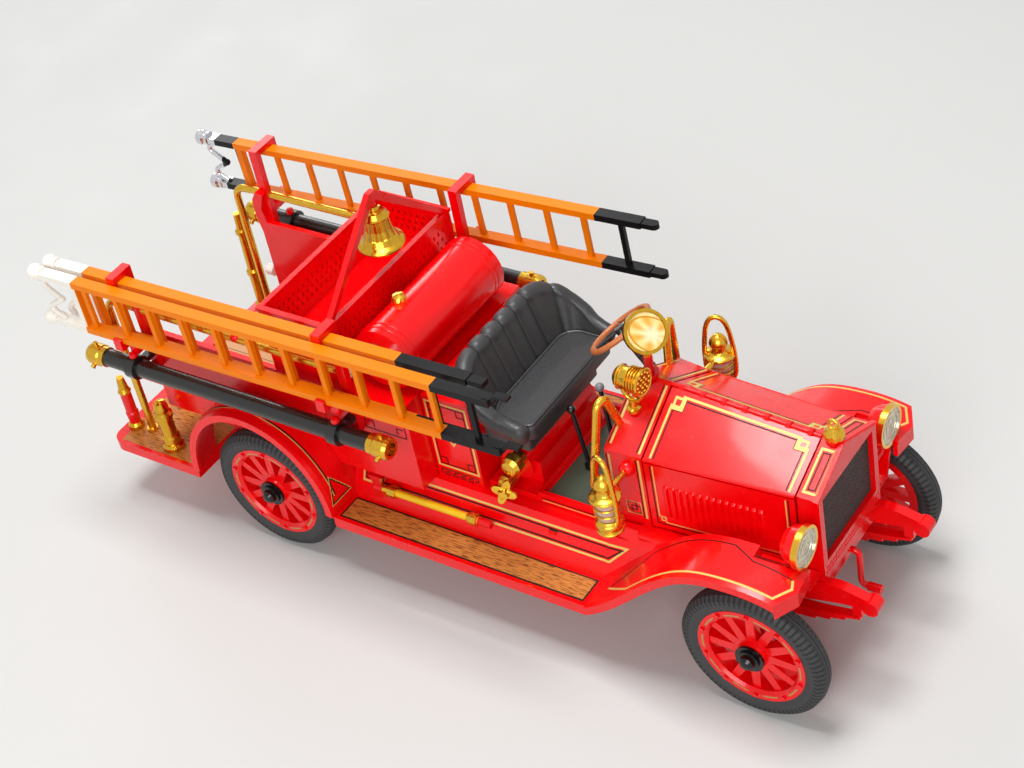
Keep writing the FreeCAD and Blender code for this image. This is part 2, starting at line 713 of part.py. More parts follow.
# Cab floor with its sloping toe board
toe_x = cowl_front_x - firewall_thickness - 0.1
toe_top_z = floor_top_z + toe_board_rise - 1.2
floor_outline = [(floor_rear_x, rail_top_z + 0.05), (toe_x, rail_top_z + 0.05), (toe_x, toe_top_z),
                 (toe_x - 0.2, toe_top_z), (toe_x - toe_board_run, floor_top_z), (floor_rear_x, floor_top_z)]
toe_half_width = hood_rear_half_width - cowl_wall - 0.25
cab_floor = prism_y(floor_outline, -toe_half_width, toe_half_width)
wing = box(floor_rear_x, cowl_rear_x - 0.1, -floor_half_width, floor_half_width, rail_top_z + 0.05, floor_top_z)
rim_low_z = floor_top_z - 0.2
rim_top_z = floor_top_z + floor_rim_height
rim_rear_x = floor_rear_x + 11.2
rims = [box(rim_rear_x, rim_rear_x + floor_rim_width, -floor_half_width, floor_half_width, rim_low_z, rim_top_z)]
for s in (1, -1):
    y0, y1 = sorted((s * floor_half_width, s * (floor_half_width - floor_rim_width)))
    rims.append(box(rim_rear_x, cowl_rear_x - 0.1, y0, y1, rim_low_z, rim_top_z))
save("cab_floor", joined([cab_floor, wing] + rims))

# Box behind the seat, with the deck on top
save("seat_box", box(box_rear_x, box_front_x, -box_half_width, box_half_width, rail_top_z + 0.05, deck_z))

# Seat: one moulding with a fluted back, rolled arms and a piped cushion
back_x = box_front_x + 0.2
back_tip_x = back_x - seat_back_lean
roll_x = back_tip_x + seat_roll_radius + 0.3
roll_z = seat_back_z - seat_roll_radius - seat_flute_depth * 0.5
seat_inner = seat_half_width - seat_arm_thickness + 0.4


def scallops(point):
    """Shallow arcs side by side across the seat; point(y, h) places a height h of the bulge at y."""
    pitch = 2 * seat_inner / seat_flute_count
    arcs = []
    for i in range(seat_flute_count):
        y = pitch * i - seat_inner
        arcs.append(Part.Arc(point(y, 0), point(y + pitch / 2, seat_flute_depth), point(y + pitch, 0)).toShape())
    return arcs


foot = V(back_x + seat_back_thickness + 0.7, 0, cushion_z - 0.6)
crown = V(roll_x + seat_roll_radius - 0.75, 0, roll_z + 0.2)
lean = (crown - foot).normalize()
outward = V(lean.z, 0, -lean.x)
rear_low = foot - outward * (seat_back_thickness - 0.6)
slab_edges = scallops(lambda y, h: foot + V(0, y, 0) + outward * h)
slab_edges += Part.makePolygon([foot + V(0, seat_inner, 0), rear_low + V(0, seat_inner, 0),
                                rear_low - V(0, seat_inner, 0), foot - V(0, seat_inner, 0)]).Edges
slab = Part.Face(Part.Wire(slab_edges)).extrude(crown - foot)
roll_edges = scallops(lambda y, h: V(roll_x + seat_roll_radius + h, y, roll_z))
roll_edges += Part.makePolygon([V(roll_x + seat_roll_radius, seat_inner, roll_z), V(roll_x, seat_inner, roll_z),
                                V(roll_x, -seat_inner, roll_z),
                                V(roll_x + seat_roll_radius, -seat_inner, roll_z)]).Edges
roll = Part.Face(Part.Wire(roll_edges)).revolve(V(roll_x, 0, roll_z), AXIS_Y, 360)
spine = prism_y([(back_x, seat_bottom_z), (back_x + seat_back_thickness + 1.0, seat_bottom_z),
                 (back_x + seat_back_thickness + 0.9, cushion_z - 0.4), (roll_x + 0.9, roll_z),
                 (roll_x - 1.2, roll_z), (back_x - 0.6, deck_z + 0.3), (back_x, deck_z + 0.3)],
                -seat_inner - 0.3, seat_inner + 0.3)
arm_top = [(roll_x - 0.2, roll_z), (back_x + 2.6, seat_back_z - 4.0), (back_x + 4.6, seat_arm_front_z + 4.2),
           (back_x + 7.4, seat_arm_front_z + 0.9), (seat_front_x - 2.6, seat_arm_front_z - 0.5),
           (seat_front_x - 1.2, seat_arm_front_z - 2.2), (seat_front_x - 1.3, cushion_z - 3.4)]
arms = []
for s in (1, -1):
    y0, y1 = sorted((s * (seat_half_width - 0.1), s * (seat_half_width - seat_arm_thickness)))
    curve = Part.BSplineCurve()
    curve.interpolate([V(x, y0, z) for x, z in arm_top])
    close = Part.makePolygon([V(arm_top[-1][0], y0, arm_top[-1][1]), V(seat_front_x - 3.2, y0, seat_bottom_z),
                              V(back_x, y0, seat_bottom_z), V(back_x, y0, deck_z + 0.3),
                              V(back_x - 0.6, y0, deck_z + 0.3), V(arm_top[0][0], y0, arm_top[0][1])])
    arms.append(Part.Face(Part.Wire([curve.toShape()] + close.Edges)).extrude(V(0, y1 - y0, 0)))
    middle = V(0, s * (seat_half_width - seat_arm_roll), 0)
    edge = Part.BSplineCurve()
    edge.interpolate([V(x, 0, z) + middle for x, z in arm_top])
    first = edge.value(edge.FirstParameter)
    last = edge.value(edge.LastParameter)
    bead = Part.Wire([Part.Circle(first, edge.tangent(edge.FirstParameter)[0], seat_arm_roll).toShape()])
    arms.append(Part.Wire([edge.toShape()]).makePipeShell([bead], True, True))
    arms.append(Part.makeSphere(seat_arm_roll, last))
    arms.append(Part.makeSphere(seat_roll_radius + 0.02, V(roll_x, s * (seat_half_width - seat_roll_radius), roll_z)))
cushion_low_z = cushion_z - cushion_thickness
cushion_rear_x = back_x + 3.6
cushion = box(cushion_rear_x, seat_front_x, -seat_inner, seat_inner, cushion_low_z, cushion_z)
nose = [e for e in cushion.Edges if abs(e.BoundBox.XMin - seat_front_x) < 0.01 and e.BoundBox.XLength < 0.01
        and e.BoundBox.ZLength < 0.01]
cushion = cushion.makeFillet(1.3, nose)
pan = box(back_x + 1.0, seat_front_x - 2.4, -seat_inner, seat_inner, seat_bottom_z, cushion_low_z + 0.2)
pipe_y = seat_inner - 0.9
pipe_rear_x = cushion_rear_x + 1.8
pipe_front_x = seat_front_x - 1.6
piping = [bent_tube([(pipe_front_x, -pipe_y, cushion_z), (pipe_rear_x, -pipe_y, cushion_z),
                     (pipe_rear_x, pipe_y, cushion_z), (pipe_front_x, pipe_y, cushion_z)],
                    seat_piping_radius, seat_cushion_corner),
          rod((pipe_front_x, -pipe_y - 0.3, cushion_z), (pipe_front_x, pipe_y + 0.3, cushion_z), seat_piping_radius)]
save("seat", joined([spine, slab, roll, cushion, pan] + arms + piping))

# Pump under the seat
pump_x = front_axle_x - 55.0
pump_low_z = floor_top_z + 0.05
pump_top_z = seat_bottom_z - 0.05
pump = joined([box(pump_x - 4.6, pump_x + 4.6, -10.5, 10.5, pump_low_z, pump_low_z + 5.2),
               rod((pump_x, -11.5, pump_low_z + 4.2), (pump_x, 11.5, pump_low_z + 4.2), 3.4),
               box(pump_x - 5.2, pump_x - 2.8, -9.0, 9.0, pump_low_z, pump_top_z),
               rod((pump_x + 0.5, -5, pump_low_z + 3), (pump_x + 0.5, -5, pump_top_z), 1.6),
               rod((pump_x + 0.5, 5, pump_low_z + 3), (pump_x + 0.5, 5, pump_top_z), 1.6)])
save("pump", pump)

# Hose body: open box behind a covered front, with walls of sheet
body_low_z = rail_top_z + 0.05
body = box(body_rear_x, body_front_x, -body_half_width, body_half_width, body_low_z, deck_z)
bed_half_width = body_half_width - body_wall
bed_front_x = body_cover_rear_x - body_wall
bed = box(body_rear_x - 1, bed_front_x, -bed_half_width, bed_half_width, bed_floor_z, deck_z + 1)
board_seat = box(body_rear_x + 1.0, bed_front_x - 0.2, -bed_half_width + 0.3, bed_half_width - 0.3,
                 bed_floor_z - bed_board_thickness, bed_floor_z + 1)
stanchions = []
for s in (1, -1):
    y0, y1 = sorted((s * bed_half_width, s * body_half_width))
    stanchions.append(prism_y([(body_rear_x, deck_z - 3.0), (body_rear_x + 1.8, deck_z - 0.2),
                               (body_rear_x + 1.2, deck_z + 3.2), (body_rear_x + 2.6, handrail_z + 0.9),
                               (body_rear_x + 0.8, handrail_z + 1.4), (body_rear_x - 0.6, handrail_z - 0.8),
                               (body_rear_x - 0.9, deck_z + 1.6)], y0, y1))
body = joined([body.cut([bed, board_seat])] + stanchions)
save("hose_body", body)

# Water tank across the deck, with rolled bands near its ends
bands = []
for y in (-tank_half_length + 3.0, tank_half_length - 3.0):
    bands.append(rod((tank_x, y - 0.4, tank_z), (tank_x, y + 0.4, tank_z), tank_radius + 0.05))
tank = turned([(0, -tank_half_length), (tank_radius - 1.6, -tank_half_length + 0.2),
               (tank_radius, -tank_half_length + 1.4), (tank_radius, tank_half_length - 1.4),
               (tank_radius - 1.6, tank_half_length - 0.2), (0, tank_half_length)], (tank_x, 0, tank_z), (0, 1, 0))
save("tank", joined([tank] + bands))

# Basket: a floor tray with a rim and cheeks, and four perforated wall panels that stand in it
basket_length = basket_front_x - basket_rear_x


def slotted_panel(length, height):
    """A panel on the X axis with rows of upright slots that keep a plain margin all round."""
    panel = box(-length / 2, length / 2, -basket_wall / 2, basket_wall / 2, 0, height)
    columns = int((length - 2 * slot_margin) / slot_pitch) + 1
    rows = int((height - 2 * slot_margin - slot_height) / slot_row_pitch) + 1
    left = -slot_pitch * (columns - 1) / 2
    low = (height - slot_row_pitch * (rows - 1) - slot_height) / 2
    slots = []
    for row in range(rows):
        shift = slot_pitch / 2 * (row % 2)
        for column in range(columns - row % 2):
            x = left + slot_pitch * column + shift
            z = low + slot_row_pitch * row
            slots.append(box(x - slot_width / 2, x + slot_width / 2, -basket_wall, basket_wall, z, z + slot_height))
    return panel.cut(slots)


rim_height = 0.7
rim_overhang = 0.25
panel_gap = 0.02
panel_height = basket_top_z - rim_height - basket_floor_z - 2 * panel_gap
tray = box(basket_rear_x, basket_front_x, -body_half_width, body_half_width,
           basket_floor_z - basket_wall, basket_floor_z)
cheeks = []
for s in (1, -1):
    y0, y1 = sorted((s * body_half_width, s * (body_half_width - basket_wall)))
    cheeks.append(box(basket_rear_x, basket_front_x, y0, y1, deck_z + 0.05, basket_floor_z))
rim = box(basket_rear_x - rim_overhang, basket_front_x + rim_overhang, -body_half_width - rim_overhang,
          body_half_width + rim_overhang, basket_top_z - rim_height, basket_top_z)
inside = body_half_width - basket_wall
rim = rim.cut(box(basket_rear_x + basket_wall, basket_front_x - basket_wall, -inside, inside,
                  basket_floor_z, basket_top_z + 1))
corners = []
for x in (basket_rear_x, basket_front_x - basket_wall):
    for y in (-body_half_width, body_half_width - basket_wall):
        corners.append(box(x, x + basket_wall, y, y + basket_wall, basket_floor_z - 0.2, basket_top_z - 0.2))
save("basket", joined([tray, rim] + cheeks + corners))
panels = []
cross_panel = slotted_panel(2 * (inside - panel_gap), panel_height)
cross_panel.rotate(V(0, 0, 0), AXIS_Z, 90)
side_panel_length = basket_length - 2 * basket_wall - 2 * panel_gap
for x in (basket_rear_x + basket_wall / 2, basket_front_x - basket_wall / 2):
    panels.append(cross_panel.translated(V(x, 0, basket_floor_z + panel_gap)))
for y in (basket_wall / 2 - body_half_width, body_half_width - basket_wall / 2):
    panel = slotted_panel(side_panel_length, panel_height)
    panels.append(panel.translated(V((basket_rear_x + basket_front_x) / 2, y, basket_floor_z + panel_gap)))
save("basket_panels", panels)

# Bell on its two-legged arch
arch_x = basket_front_x - basket_wall / 2
arch_foot_y = body_half_width - 0.6
foot_z = basket_top_z + 0.05
outline = [(-arch_foot_y, foot_z), (1.5 - arch_foot_y, foot_z), (0, arch_peak_z - 1.6),
           (arch_foot_y - 1.5, foot_z), (arch_foot_y, foot_z), (0.9, arch_peak_z), (-0.9, arch_peak_z)]
arch = prism_x(outline, arch_x - arch_bar / 2, arch_x + arch_bar / 2)
bell_top_z = bell_mouth_z + bell_height
shoulder = bell_height * 0.78
hanger = Part.makeCylinder(0.6, arch_peak_z - 1.0 - bell_top_z - 0.05, V(arch_x, 0, bell_top_z + 0.05))
save("bell_arch", joined([arch, hanger]))
bell = turned([(0, bell_height - 1.2), (0, bell_height), (0.9, bell_height), (1.1, bell_height - 0.6),
               (1.0, bell_height - 0.9), (1.9, bell_height - 1.1), (2.4, shoulder), (2.7, shoulder - 0.3),
               (2.4, shoulder - 0.7), (2.6, bell_height * 0.45), (3.0, bell_height * 0.28),
               (3.7, bell_height * 0.13), (bell_radius - 0.2, bell_height * 0.08), (bell_radius, 0.3),
               (bell_radius, 0), (bell_radius - 0.5, 0), (3.1, bell_height * 0.13), (2.4, bell_height * 0.28),
               (1.9, bell_height * 0.62)], (arch_x, 0, bell_mouth_z), (0, 0, 1))
save("bell", bell)


# Fenders: a crowned sheet with an outer skirt, carried along a side profile
fender_stations = 14


class SideCurve:
    """A smooth side profile in X and Z with its upward normals at even steps."""

    def __init__(self, profile):
        curve = Part.BSplineCurve()
        curve.interpolate([V(x, 0, z) for x, z in profile])
        sign = 1 if profile[-1][0] > profile[0][0] else -1
        span = curve.LastParameter - curve.FirstParameter
        self.stations = []
        for i in range(fender_stations + 1):
            t = curve.FirstParameter + span * i / fender_stations
            tangent = curve.tangent(t)[0]
            self.stations.append((curve.value(t), V(-tangent.z, 0, tangent.x) * sign))
        fine = 40 * fender_stations
        self.points = [curve.value(curve.FirstParameter + span * i / fine) for i in range(fine + 1)]

    def height(self, x):
        """The curve's height at one X, from the nearest of its many points."""
        return min(self.points, key=lambda point: abs(point.x - x)).z


def fender(path, y_in, y_out, crown):
    """Loft the sheet's cross-section through the stations of its side curve."""
    section = [(y_in, crown), (y_out - 1.0, 0.25), (y_out, 0.0), (y_out, -fender_skirt),
               (y_out - fender_sheet, -fender_skirt), (y_out - fender_sheet, -fender_sheet),
               (y_in, crown - fender_sheet)]
    wires = []
    for at, normal in path.stations:
        corners = [V(at.x, y, at.z) + normal * h for y, h in section]
        wires.append(Part.makePolygon(corners + corners[:1]))
    return Part.makeLoft(wires, True, False)


a0 = front_axle_x
foot_z = board_top_z + 0.05
front_path = SideCurve([(a0 - 34.4, foot_z - 0.9), (a0 - 28.0, foot_z + 3.35), (a0 - 18.0, foot_z + 12.55),
                        (a0 - 10.0, foot_z + 17.55), (a0 - 2.0, foot_z + 18.85), (a0 + 6.0, foot_z + 18.15),
                        (a0 + 11.6, foot_z + 15.75)])
front_crown = 1.2
front_fender = fender(front_path, fender_inner_y, fender_outer_y, front_crown)
front_fender = front_fender.cut(box(a0 - 60, board_front_x + 0.05, 0, 40, 0, 60))
tip_bevel_x = a0 + 7.3
tip_front_x = a0 + 9.7
tip_y = fender_outer_y - 4.6
front_fender = front_fender.cut(prism_z([(tip_bevel_x, fender_outer_y + 2), (tip_bevel_x, fender_outer_y),
                                         (tip_front_x, tip_y), (tip_front_x - 0.6, fender_inner_y - 2),
                                         (a0 + 30, fender_inner_y - 2), (a0 + 30, fender_outer_y + 2)], 0, 60))
tip_skirt = prism_z([(tip_bevel_x, fender_outer_y - 0.05), (tip_front_x, tip_y), (tip_front_x - 0.6, fender_inner_y),
                     (tip_front_x - 1.5, fender_inner_y), (tip_front_x - 1.1, tip_y - 0.2),
                     (tip_bevel_x - 0.5, fender_outer_y - 0.9)], foot_z + 14.4, foot_z + 17.3)
ledge_z = rail_top_z + 2.4
valance_sheet = 0.7
valance_rear_x = board_front_x + 0.06
valance_front_x = tip_front_x - 2.0
valance_steps = 12
valance_wires = []
for i in range(valance_steps + 1):
    x = valance_rear_x + (valance_front_x - valance_rear_x) * i / valance_steps
    share = (x - cowl_rear_x) / (hood_front_x - cowl_rear_x)
    ledge_inner = V(x, cowl_rear_half_width + 0.4 - share * (cowl_rear_half_width - radiator_half_width), ledge_z)
    ledge_outer = V(x, fender_inner_y - 2.2, ledge_z)
    meet = V(x, fender_inner_y + 0.3, front_path.height(x) + front_crown - fender_sheet / 2)
    along = (meet - ledge_outer).normalize()
    under = V(0, along.z, -along.y)
    mitre = (under - AXIS_Z) * (1 / (1 - under.z))
    corners = [ledge_inner, ledge_outer, meet, meet + under * valance_sheet,
               ledge_outer + mitre * valance_sheet, ledge_inner - AXIS_Z * valance_sheet]
    valance_wires.append(Part.makePolygon(corners + corners[:1]))
valance = Part.makeLoft(valance_wires, True, True)
front_fender = joined([front_fender, tip_skirt, valance])
lamp_clearance = rod((a0, headlight_y, headlight_z), (a0 + 14.0, headlight_y, headlight_z), headlight_radius + 0.12)
front_fender = front_fender.cut(lamp_clearance)
save("front_fenders", [front_fender, mirrored(front_fender)])
b0 = rear_axle_x
rear_path = SideCurve([(board_rear_x, foot_z), (b0 + 15.4, foot_z + 7.95), (b0 + 10.2, foot_z + 15.55),
                       (b0 + 1.0, foot_z + 19.75), (b0 - 8.6, foot_z + 18.35), (b0 - 16.0, foot_z + 11.95),
                       (b0 - 19.2, foot_z + 3.95), (b0 - 19.6, foot_z)])
rear_fender = fender(rear_path, rear_fender_inner_y, fender_outer_y, 0.5)
save("rear_fenders", [rear_fender, mirrored(rear_fender)])

# Running boards with their splash aprons, the rear step and the wood insets
board_low_z = board_top_z - board_thickness
bracket_half = 0.8


def running_board():
    """The left board, recessed for its inset, with the apron rising to the frame."""
    board = box(board_rear_x, board_front_x, board_inner_y, board_half_width, board_low_z, board_top_z)
    recess = box(board_rear_x + inset_border, board_front_x - inset_border, board_inner_y + inset_border,
                 board_half_width - inset_border, board_top_z - inset_thickness, board_top_z + 1)
    apron = prism_x([(board_inner_y - apron_sheet, board_low_z), (board_inner_y + 0.3, board_low_z),
                     (board_inner_y + 0.3, board_top_z), (apron_top_y + apron_sheet, apron_top_z),
                     (apron_flange_y, apron_top_z), (apron_flange_y, apron_top_z - apron_sheet),
                     (apron_top_y, apron_top_z - apron_sheet), (board_inner_y - apron_sheet, board_top_z)],
                    board_rear_x, board_front_x)
    parts = [board.cut(recess), apron]
    for x in (board_front_x - 12.0, board_front_x - 44.0):
        parts.append(box(x - bracket_half, x + bracket_half, rail_y + rail_width / 2 + 0.05, apron_top_y + 2.2,
                         rail_bottom_z + 1.0, rail_bottom_z + 2.6))
    return joined(parts)


board = running_board()
save("running_boards", [board, mirrored(board)])
step = box(step_rear_x, step_front_x, -board_half_width, board_half_width, board_low_z, board_top_z)
corner_edges = [e for e in step.Edges if abs(e.Vertexes[0].X - step_rear_x) < 0.01
                and abs(e.Vertexes[-1].X - step_rear_x) < 0.01 and abs(e.Vertexes[0].Y - e.Vertexes[-1].Y) < 0.01]
step = step.makeFillet(step_corner_radius, corner_edges)
step_inset_rear_x = step_rear_x + 2.6
step_inset_front_x = step_front_x - inset_border
step_inset_half = board_half_width - inset_border
step_recess = box(step_inset_rear_x, step_inset_front_x, -step_inset_half, step_inset_half,
                  board_top_z - inset_thickness, board_top_z + 1)
step_parts = [step.cut(step_recess)]
leg_slots = []
for s in (1, -1):
    y0, y1 = sorted((s * (rail_y - 0.8), s * (rail_y + 0.8)))
    step_parts.append(box(rail_rear_x + 1, rail_rear_x + 6, y0, y1, board_low_z + 0.5, rail_bottom_z - 0.05))
    leg_slots.append(box(rail_rear_x + 0.95, rail_rear_x + 6.05, y0 - 0.05, y1 + 0.05, 0, rail_bottom_z))
save("rear_step", joined(step_parts))
insets = []
for s in (1, -1):
    y0, y1 = sorted((s * (board_inner_y + inset_border + 0.02), s * (board_half_width - inset_border - 0.02)))
    insets.append(box(board_rear_x + inset_border + 0.02, board_front_x - inset_border - 0.02, y0, y1,
                      board_top_z - inset_thickness, board_top_z + 0.05))
step_inset = box(step_inset_rear_x + 0.02, step_inset_front_x - 0.02, -step_inset_half + 0.02,
                 step_inset_half - 0.02, board_top_z - inset_thickness, board_top_z + 0.05)
insets.append(step_inset.cut(leg_slots))
insets.append(box(body_rear_x + 1.02, bed_front_x - 0.22, -bed_half_width + 0.32, bed_half_width - 0.32,
                  bed_floor_z - bed_board_thickness, bed_floor_z + 0.05))
save("board_insets", insets)


# Ladders: two long rails set on edge, round rungs, and hooks or tips at the ends
def ladder(rear_x, front_x, y, top_z, width, tilt, first_rung_x, tip):
    """One ladder on edge, with front tips, rear knobs and bent roof hooks; it rises towards the front."""
    parts = []
    half = ladder_rail_width / 2
    rail_front_x = front_x - 3.4
    for low in (top_z - ladder_rail_height, top_z - width):
        high = low + ladder_rail_height
        parts.append(box(rear_x, rail_front_x, y - half, y + half, low, high))
        if tip == "stepped":
            parts.append(prism_y([(rail_front_x - 1.6, high - 0.5), (rail_front_x + 0.4, high - 0.5),
                                  (rail_front_x + 1.6, high + 0.7), (front_x + 0.6, high + 0.7),
                                  (front_x + 0.6, high + 1.3), (rail_front_x + 1.2, high + 1.3),
                                  (rail_front_x, high + 0.1), (rail_front_x - 1.6, high + 0.1)],
                                 y - half * 0.6, y + half * 0.6))
        elif tip == "round":
            parts.append(box(rail_front_x - 1, front_x - half * 0.8, y - half * 0.8, y + half * 0.8,
                             low + 0.15, high - 0.15))
            parts.append(Part.makeCylinder(half * 0.8, ladder_rail_height - 0.3,
                                           V(front_x - half * 0.8, y, low + 0.15)))
        else:
            parts.append(box(rail_front_x - 1, front_x, y - half * 0.8, y + half * 0.8, low + 0.15, high - 0.15))
    rung_x = first_rung_x
    while rung_x > rear_x + 11.0:
        parts.append(box(rung_x - rung_width / 2, rung_x + rung_width / 2, y - rung_thickness / 2,
                         y + rung_thickness / 2, top_z - width + 0.5, top_z - 0.5))
        rung_x -= rung_spacing
    end_rung_x = rear_x + 8.6
    parts.append(box(end_rung_x - 0.8, end_rung_x + 0.8, y - 0.7, y + 0.7, top_z - width + 0.5, top_z - 0.5))
    for z_rail in (top_z - ladder_rail_height / 2, top_z - width + ladder_rail_height / 2):
        parts.append(turned([(0, 0), (knob_radius * 0.6, 0.15), (knob_radius * 0.95, 0.8), (knob_radius, 1.4),
                             (knob_radius * 0.9, 2.1), (knob_radius * 0.55, 2.6), (knob_radius * 0.85, 2.9),
                             (knob_radius * 0.85, knob_length), (0, knob_length)],
                            (rear_x - knob_length + 0.6, y, z_rail), (1, 0, 0)))
    upper = top_z - ladder_rail_height
    lower = top_z - width + ladder_rail_height
    mid = (upper + lower) / 2
    quarter = (upper - lower) / 4
    for way in (1, -1):
        parts.append(bent_tube([(rear_x + 2.6, y, mid + way * (2 * quarter + 0.3)),
                                (rear_x - 1.4, y, mid + way * quarter * 1.25), (rear_x + 3.4, y, mid)],
                               hook_wire, 1.0))
    parts.append(Part.makeSphere(hook_wire * 1.2, V(rear_x + 3.4, y, mid)))
    whole = joined(parts)
    middle = (rear_x + front_x - 3.4) / 2
    whole.rotate(V(middle, y, top_z - width / 2), AXIS_Y, -tilt)
    return whole


outer_rung_x = ladder_outer_front_x - 8.4
outer_ladder = ladder(ladder_rear_x, ladder_outer_front_x, -ladder_outer_y, ladder_top_z, ladder_width,
                      ladder_tilt, outer_rung_x, "stepped")
inner_ladder = ladder(ladder_rear_x + 1.0, ladder_inner_front_x, -ladder_inner_y, ladder_top_z,
                      ladder_width + ladder_inner_extra, ladder_tilt,
                      outer_rung_x - inner_rung_shift - rung_spacing, "plain")
left_ladder = ladder(left_ladder_rear_x, left_ladder_front_x, left_ladder_y, left_ladder_top_z, ladder_width,
                     left_ladder_tilt, left_ladder_front_x - 8.4, "round")
save("ladder_right_outer", outer_ladder)
save("ladder_right_inner", inner_ladder)
save("ladder_left", left_ladder)

# Ladder brackets: a post on the body side with an arm under the rails and a hook over them
post_inner_y = body_half_width + 0.05
post_outer_y = post_inner_y + bracket_thickness
seat_clearance = 0.15
inner_low_z = ladder_top_z - ladder_width - ladder_inner_extra
outer_low_z = ladder_top_z - ladder_width
left_low_z = left_ladder_top_z - ladder_width
finger_y0 = ladder_inner_y + ladder_rail_width / 2 + 0.15
finger_y1 = ladder_outer_y - ladder_rail_width / 2 - 0.15
lip_y0 = ladder_outer_y + ladder_rail_width / 2 + 0.15
lip_y1 = lip_y0 + 0.65
post_low_z = hose_rail_z - 0.6
hose_rail_y = hose_y - 0.9


def rise_at(x, rear_x, front_x, tilt):
    """How far a tilted ladder stands above its middle height at one station."""
    return (x - (rear_x + front_x) / 2) * math.tan(math.radians(tilt))


brackets = []
posts = []
for x in (bracket_rear_x, bracket_front_x):
    oi = rise_at(x, ladder_rear_x + 1.0, ladder_inner_front_x - 3.4, ladder_tilt)
    oo = rise_at(x, ladder_rear_x, ladder_outer_front_x - 3.4, ladder_tilt)
    shelf = inner_low_z + oi - seat_clearance
    arm = outer_low_z + oo - seat_clearance
    top = ladder_top_z + max(oi, oo) + seat_clearance
    outline = [(post_inner_y, post_low_z), (post_outer_y, post_low_z), (post_outer_y, shelf - 1.2),
               (finger_y1, shelf - 1.2), (finger_y1, arm - 1.3), (lip_y1, arm - 1.3), (lip_y1, arm + 1.3),
               (lip_y0, arm + 1.3), (lip_y0, arm), (finger_y0, arm), (finger_y0, shelf), (post_outer_y, shelf),
               (post_outer_y, top), (finger_y0, top), (finger_y0, top - 1.4), (finger_y1, top - 1.4),
               (finger_y1, top + 1.3), (post_inner_y, top + 1.3)]
    right = prism_x([(-y, z) for y, z in outline], x - bracket_width / 2, x + bracket_width / 2)
    right = joined([right, box(x - bracket_width / 2, x + bracket_width / 2, -hose_rail_y, -post_inner_y,
                               hose_rail_z - 0.6, hose_rail_z + 0.6)])
    ol = rise_at(x, left_ladder_rear_x, left_ladder_front_x - 3.4, left_ladder_tilt)
    arm = left_low_z + ol - seat_clearance
    top = left_ladder_top_z + ol + seat_clearance
    y0 = left_ladder_y + ladder_rail_width / 2 + 0.15
    y1 = y0 + 0.85
    outline = [(post_inner_y, post_low_z), (post_outer_y, post_low_z), (post_outer_y, arm - 1.3), (y1, arm - 1.3),
               (y1, arm + 1.2), (y0, arm + 1.2), (y0, arm), (post_outer_y, arm), (post_outer_y, top), (y0, top),
               (y0, top - 1.4), (y1, top - 1.4), (y1, top + 1.3), (post_inner_y, top + 1.3)]
    left = prism_x(outline, x - bracket_width / 2, x + bracket_width / 2)
    left = joined([left, box(x - bracket_width / 2, x + bracket_width / 2, post_inner_y, hose_rail_y,
                             hose_rail_z - 0.6, hose_rail_z + 0.6)])
    brackets += [right, left]
    for s in (1, -1):
        y0, y1 = sorted((s * (post_inner_y - 0.3), s * (post_outer_y + 0.5)))
        posts.append(box(x - bracket_width / 2 - 0.05, x + bracket_width / 2 + 0.05, y0, y1, post_low_z, arch_peak_z))
rails = [rod((hose_rear_x + 2.0, s * hose_rail_y, hose_rail_z), (hose_front_x - 3.0, s * hose_rail_y, hose_rail_z),
             hose_rail_radius) for s in (-1, 1)]
right_brackets = joined([brackets[0], brackets[2], rails[0]])
left_brackets = joined([brackets[1], brackets[3], rails[1]])
save("ladder_brackets", [right_brackets, left_brackets])

# Suction hoses, their brass couplings and the strap clamps that hold them
hoses = []
couplings = []
clamps = []
for s in (1, -1):
    y = s * hose_y
    hoses.append(rod((hose_rear_x, y, hose_z), (hose_front_x, y, hose_z), hose_radius))
    for x, way in ((hose_rear_x - 0.02, -1), (hose_front_x + 0.02, 1)):
        body = turned([(0, 0), (coupling_radius - 0.2, 0), (coupling_radius - 0.2, 1.2), (coupling_radius, 1.5),
                       (coupling_radius, 3.9), (coupling_radius - 0.3, coupling_length),
                       (1.3, coupling_length), (1.3, 2.6), (0, 2.6)], (x, y, hose_z), (way, 0, 0))
        lugs = []
        for angle in (90, 210, 330):
            reach = V(0, math.cos(math.radians(angle)), math.sin(math.radians(angle)))
            root = V(x + way * 2.7, y, hose_z) + reach * (coupling_radius - 0.6)
            lugs.append(Part.makeCylinder(0.5, 1.4, root, reach))
        couplings.append(joined([body] + lugs))
    for x in (bracket_rear_x, bracket_front_x):
        ring = rod((x - clamp_width / 2, y, hose_z), (x + clamp_width / 2, y, hose_z), hose_radius + clamp_thickness)
        y0, y1 = sorted((s * (post_outer_y + 0.05), s * (hose_y - hose_radius - 0.2)))
        arm = box(x - clamp_width / 2 + 0.2, x + clamp_width / 2 - 0.2, y0, y1, hose_z - 0.5, hose_z + 0.7)
        bolt = rod((x, s * (hose_y + 1.8), hose_z), (x, s * lip_y1, hose_z), 0.55)
        clamp = joined([ring, arm, bolt])
        clamps.append(clamp.cut(rod((x - 9, y, hose_z), (x + 9, y, hose_z), hose_radius + 0.02)))
save("suction_hoses", hoses)
save("hose_couplings", couplings)
save("hose_clamps", clamps)

